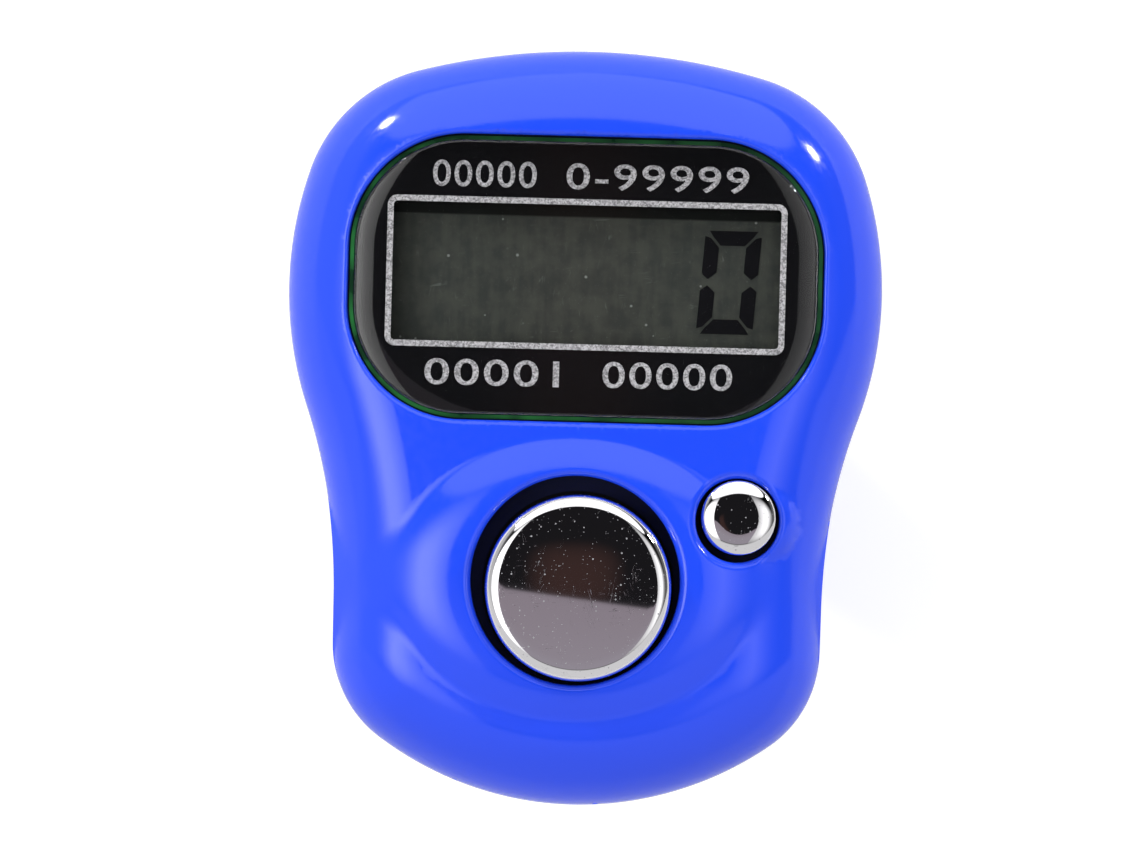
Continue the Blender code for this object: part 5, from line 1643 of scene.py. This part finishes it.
def tent_world(light):
    """Light tent: white panels on the sides and at both ends, round an opening for the camera.

    Directions are taken as points on a plane overhead, u to the right and v away from the wearer.
    """
    world = bpy.data.worlds.new("Tent")
    bpy.context.scene.world = world
    world.use_nodes = True
    nodes = Nodes(world.node_tree)
    where = nodes.add("ShaderNodeTexCoord").outputs["Generated"]
    parts = nodes.add("ShaderNodeSeparateXYZ", Vector=where).outputs
    up = nodes.math("MAXIMUM", parts["Z"], 0.001)
    u = nodes.math("DIVIDE", parts["X"], up)
    v = nodes.math("DIVIDE", parts["Y"], up)
    glow = tent_panels(nodes, u, v, light)
    both = nodes.add("ShaderNodeMix", data_type="RGBA", blend_type="ADD")
    both.inputs["Factor"].default_value = 1.0
    white = nodes.add("ShaderNodeCombineColor", Red=glow, Green=glow, Blue=glow)
    nodes.put(both.inputs["A"], white.outputs[0])
    nodes.put(both.inputs["B"], camera_opening(nodes, u, v, light))
    nodes.put(world.node_tree.nodes["Background"].inputs["Color"], both.outputs["Result"])


# Two small lamps, each by its direction as a point on the plane overhead
LAMPS = (("left_lamp", (-2.3, 2.38)), ("right_lamp", (3.4, 2.3)))
LAMP_GLOW, LAMP_SIZE, LAMP_AWAY = 90, 0.07, 0.6
FLOOR_RADIUS, FLOOR_GLOW = 1.6, 0.5
PICTURE_WIDTH, HALF_PIXEL = 1140, 0.5


def small_lamp(name, towards):
    """Small round lamp seen from the counter at (u, v) on the plane overhead."""
    lamp = bpy.data.lights.new(name, "AREA")
    lamp.shape = "DISK"
    lamp.size = LAMP_SIZE
    lamp.energy = LAMP_GLOW * math.pi**2 * (LAMP_SIZE / 2) ** 2
    obj = bpy.data.objects.new(name, lamp)
    bpy.context.scene.collection.objects.link(obj)
    away = Vector((*towards, 1)).normalized()
    obj.location = away * LAMP_AWAY + Vector((0, 0, SKIN_HIGH[2]))
    obj.rotation_euler = away.to_track_quat("Z", "Y").to_euler()


def pale_floor():
    """Round floor. It glows a little towards the camera alone, and so lights nothing."""
    bpy.ops.mesh.primitive_circle_add(vertices=96, radius=FLOOR_RADIUS, fill_type="NGON")
    floor = bpy.context.object
    floor.name = "floor"
    material, nodes, shader = new_material("Pale floor")
    shade(shader, Base_Color=(0.72, 0.72, 0.72), Roughness=0.9, Emission_Color=(1.0, 1.0, 0.98))
    seen = nodes.add("ShaderNodeLightPath").outputs["Is Camera Ray"]
    nodes.put(shader.inputs["Emission Strength"], nodes.math("MULTIPLY", seen, FLOOR_GLOW))
    floor.data.materials.append(material)
    return floor


def camera_above(light, face):
    """Camera straight above, so far off that the picture has the given scale at the face."""
    camera = bpy.data.cameras.new("Camera")
    camera.lens = light.lens
    camera.clip_start = 0.01
    camera.clip_end = 10
    view = bpy.data.objects.new("Camera", camera)
    bpy.context.scene.collection.objects.link(view)
    away = camera.lens / camera.sensor_width * PICTURE_WIDTH / light.pixels
    shift = Vector(((PICTURE_WIDTH / 2 - light.at) / light.pixels, HALF_PIXEL / light.pixels, 0))
    turn = Euler((0, 0, light.roll))
    shift.rotate(turn)
    view.location = Vector((0, 0, face + away)) + shift
    view.rotation_euler = turn
    return view


class COUNTER_OT_stage(bpy.types.Operator):
    """Sets the pale floor, the light tent and the camera straight above"""

    bl_idname = "counter.stage"
    bl_label = "Stage"

    def execute(self, context):
        scene = context.scene
        case, light = scene.counter_case, scene.counter_light
        scene.view_settings.view_transform = "Standard"
        scene.view_settings.look = "None"
        pale_floor()
        tent_world(light)
        for name, towards in LAMPS:
            small_lamp(name, towards)
        scene.camera = camera_above(light, case.face - case.rim_height)
        return {"FINISHED"}


# Add-on

OPERATORS = (
    COUNTER_OT_stage,
    COUNTER_OT_case_front,
    COUNTER_OT_case_back,
    COUNTER_OT_door,
    COUNTER_OT_band,
    COUNTER_OT_buttons,
    COUNTER_OT_lens,
    COUNTER_OT_window_print,
    COUNTER_OT_display,
    COUNTER_OT_inner_finishes,
)


class COUNTER_PT_panel(bpy.types.Panel):
    """Lists the steps of the counter"""

    bl_idname = "COUNTER_PT_panel"
    bl_label = "Finger counter"
    bl_space_type = "VIEW_3D"
    bl_region_type = "UI"
    bl_category = "Counter"

    def draw(self, context):
        for name in PROPERTY_GROUPS:
            group = getattr(context.scene, name)
            box = self.layout.box()
            for key in group.bl_rna.properties.keys():
                if key not in {"rna_type", "name"}:
                    box.prop(group, key)
        for operator in OPERATORS:
            self.layout.operator(operator.bl_idname)


CLASSES = (*PROPERTY_GROUPS.values(), *OPERATORS, COUNTER_PT_panel)


def register():
    for cls in CLASSES:
        bpy.utils.register_class(cls)
    for name, group in PROPERTY_GROUPS.items():
        setattr(bpy.types.Scene, name, PointerProperty(type=group))


def unregister():
    for name in PROPERTY_GROUPS:
        delattr(bpy.types.Scene, name)
    for cls in reversed(CLASSES):
        bpy.utils.unregister_class(cls)


def main():
    register()
    for operator in OPERATORS:
        area, step = operator.bl_idname.split(".")
        getattr(getattr(bpy.ops, area), step)()


if __name__ == "__main__":
    main()
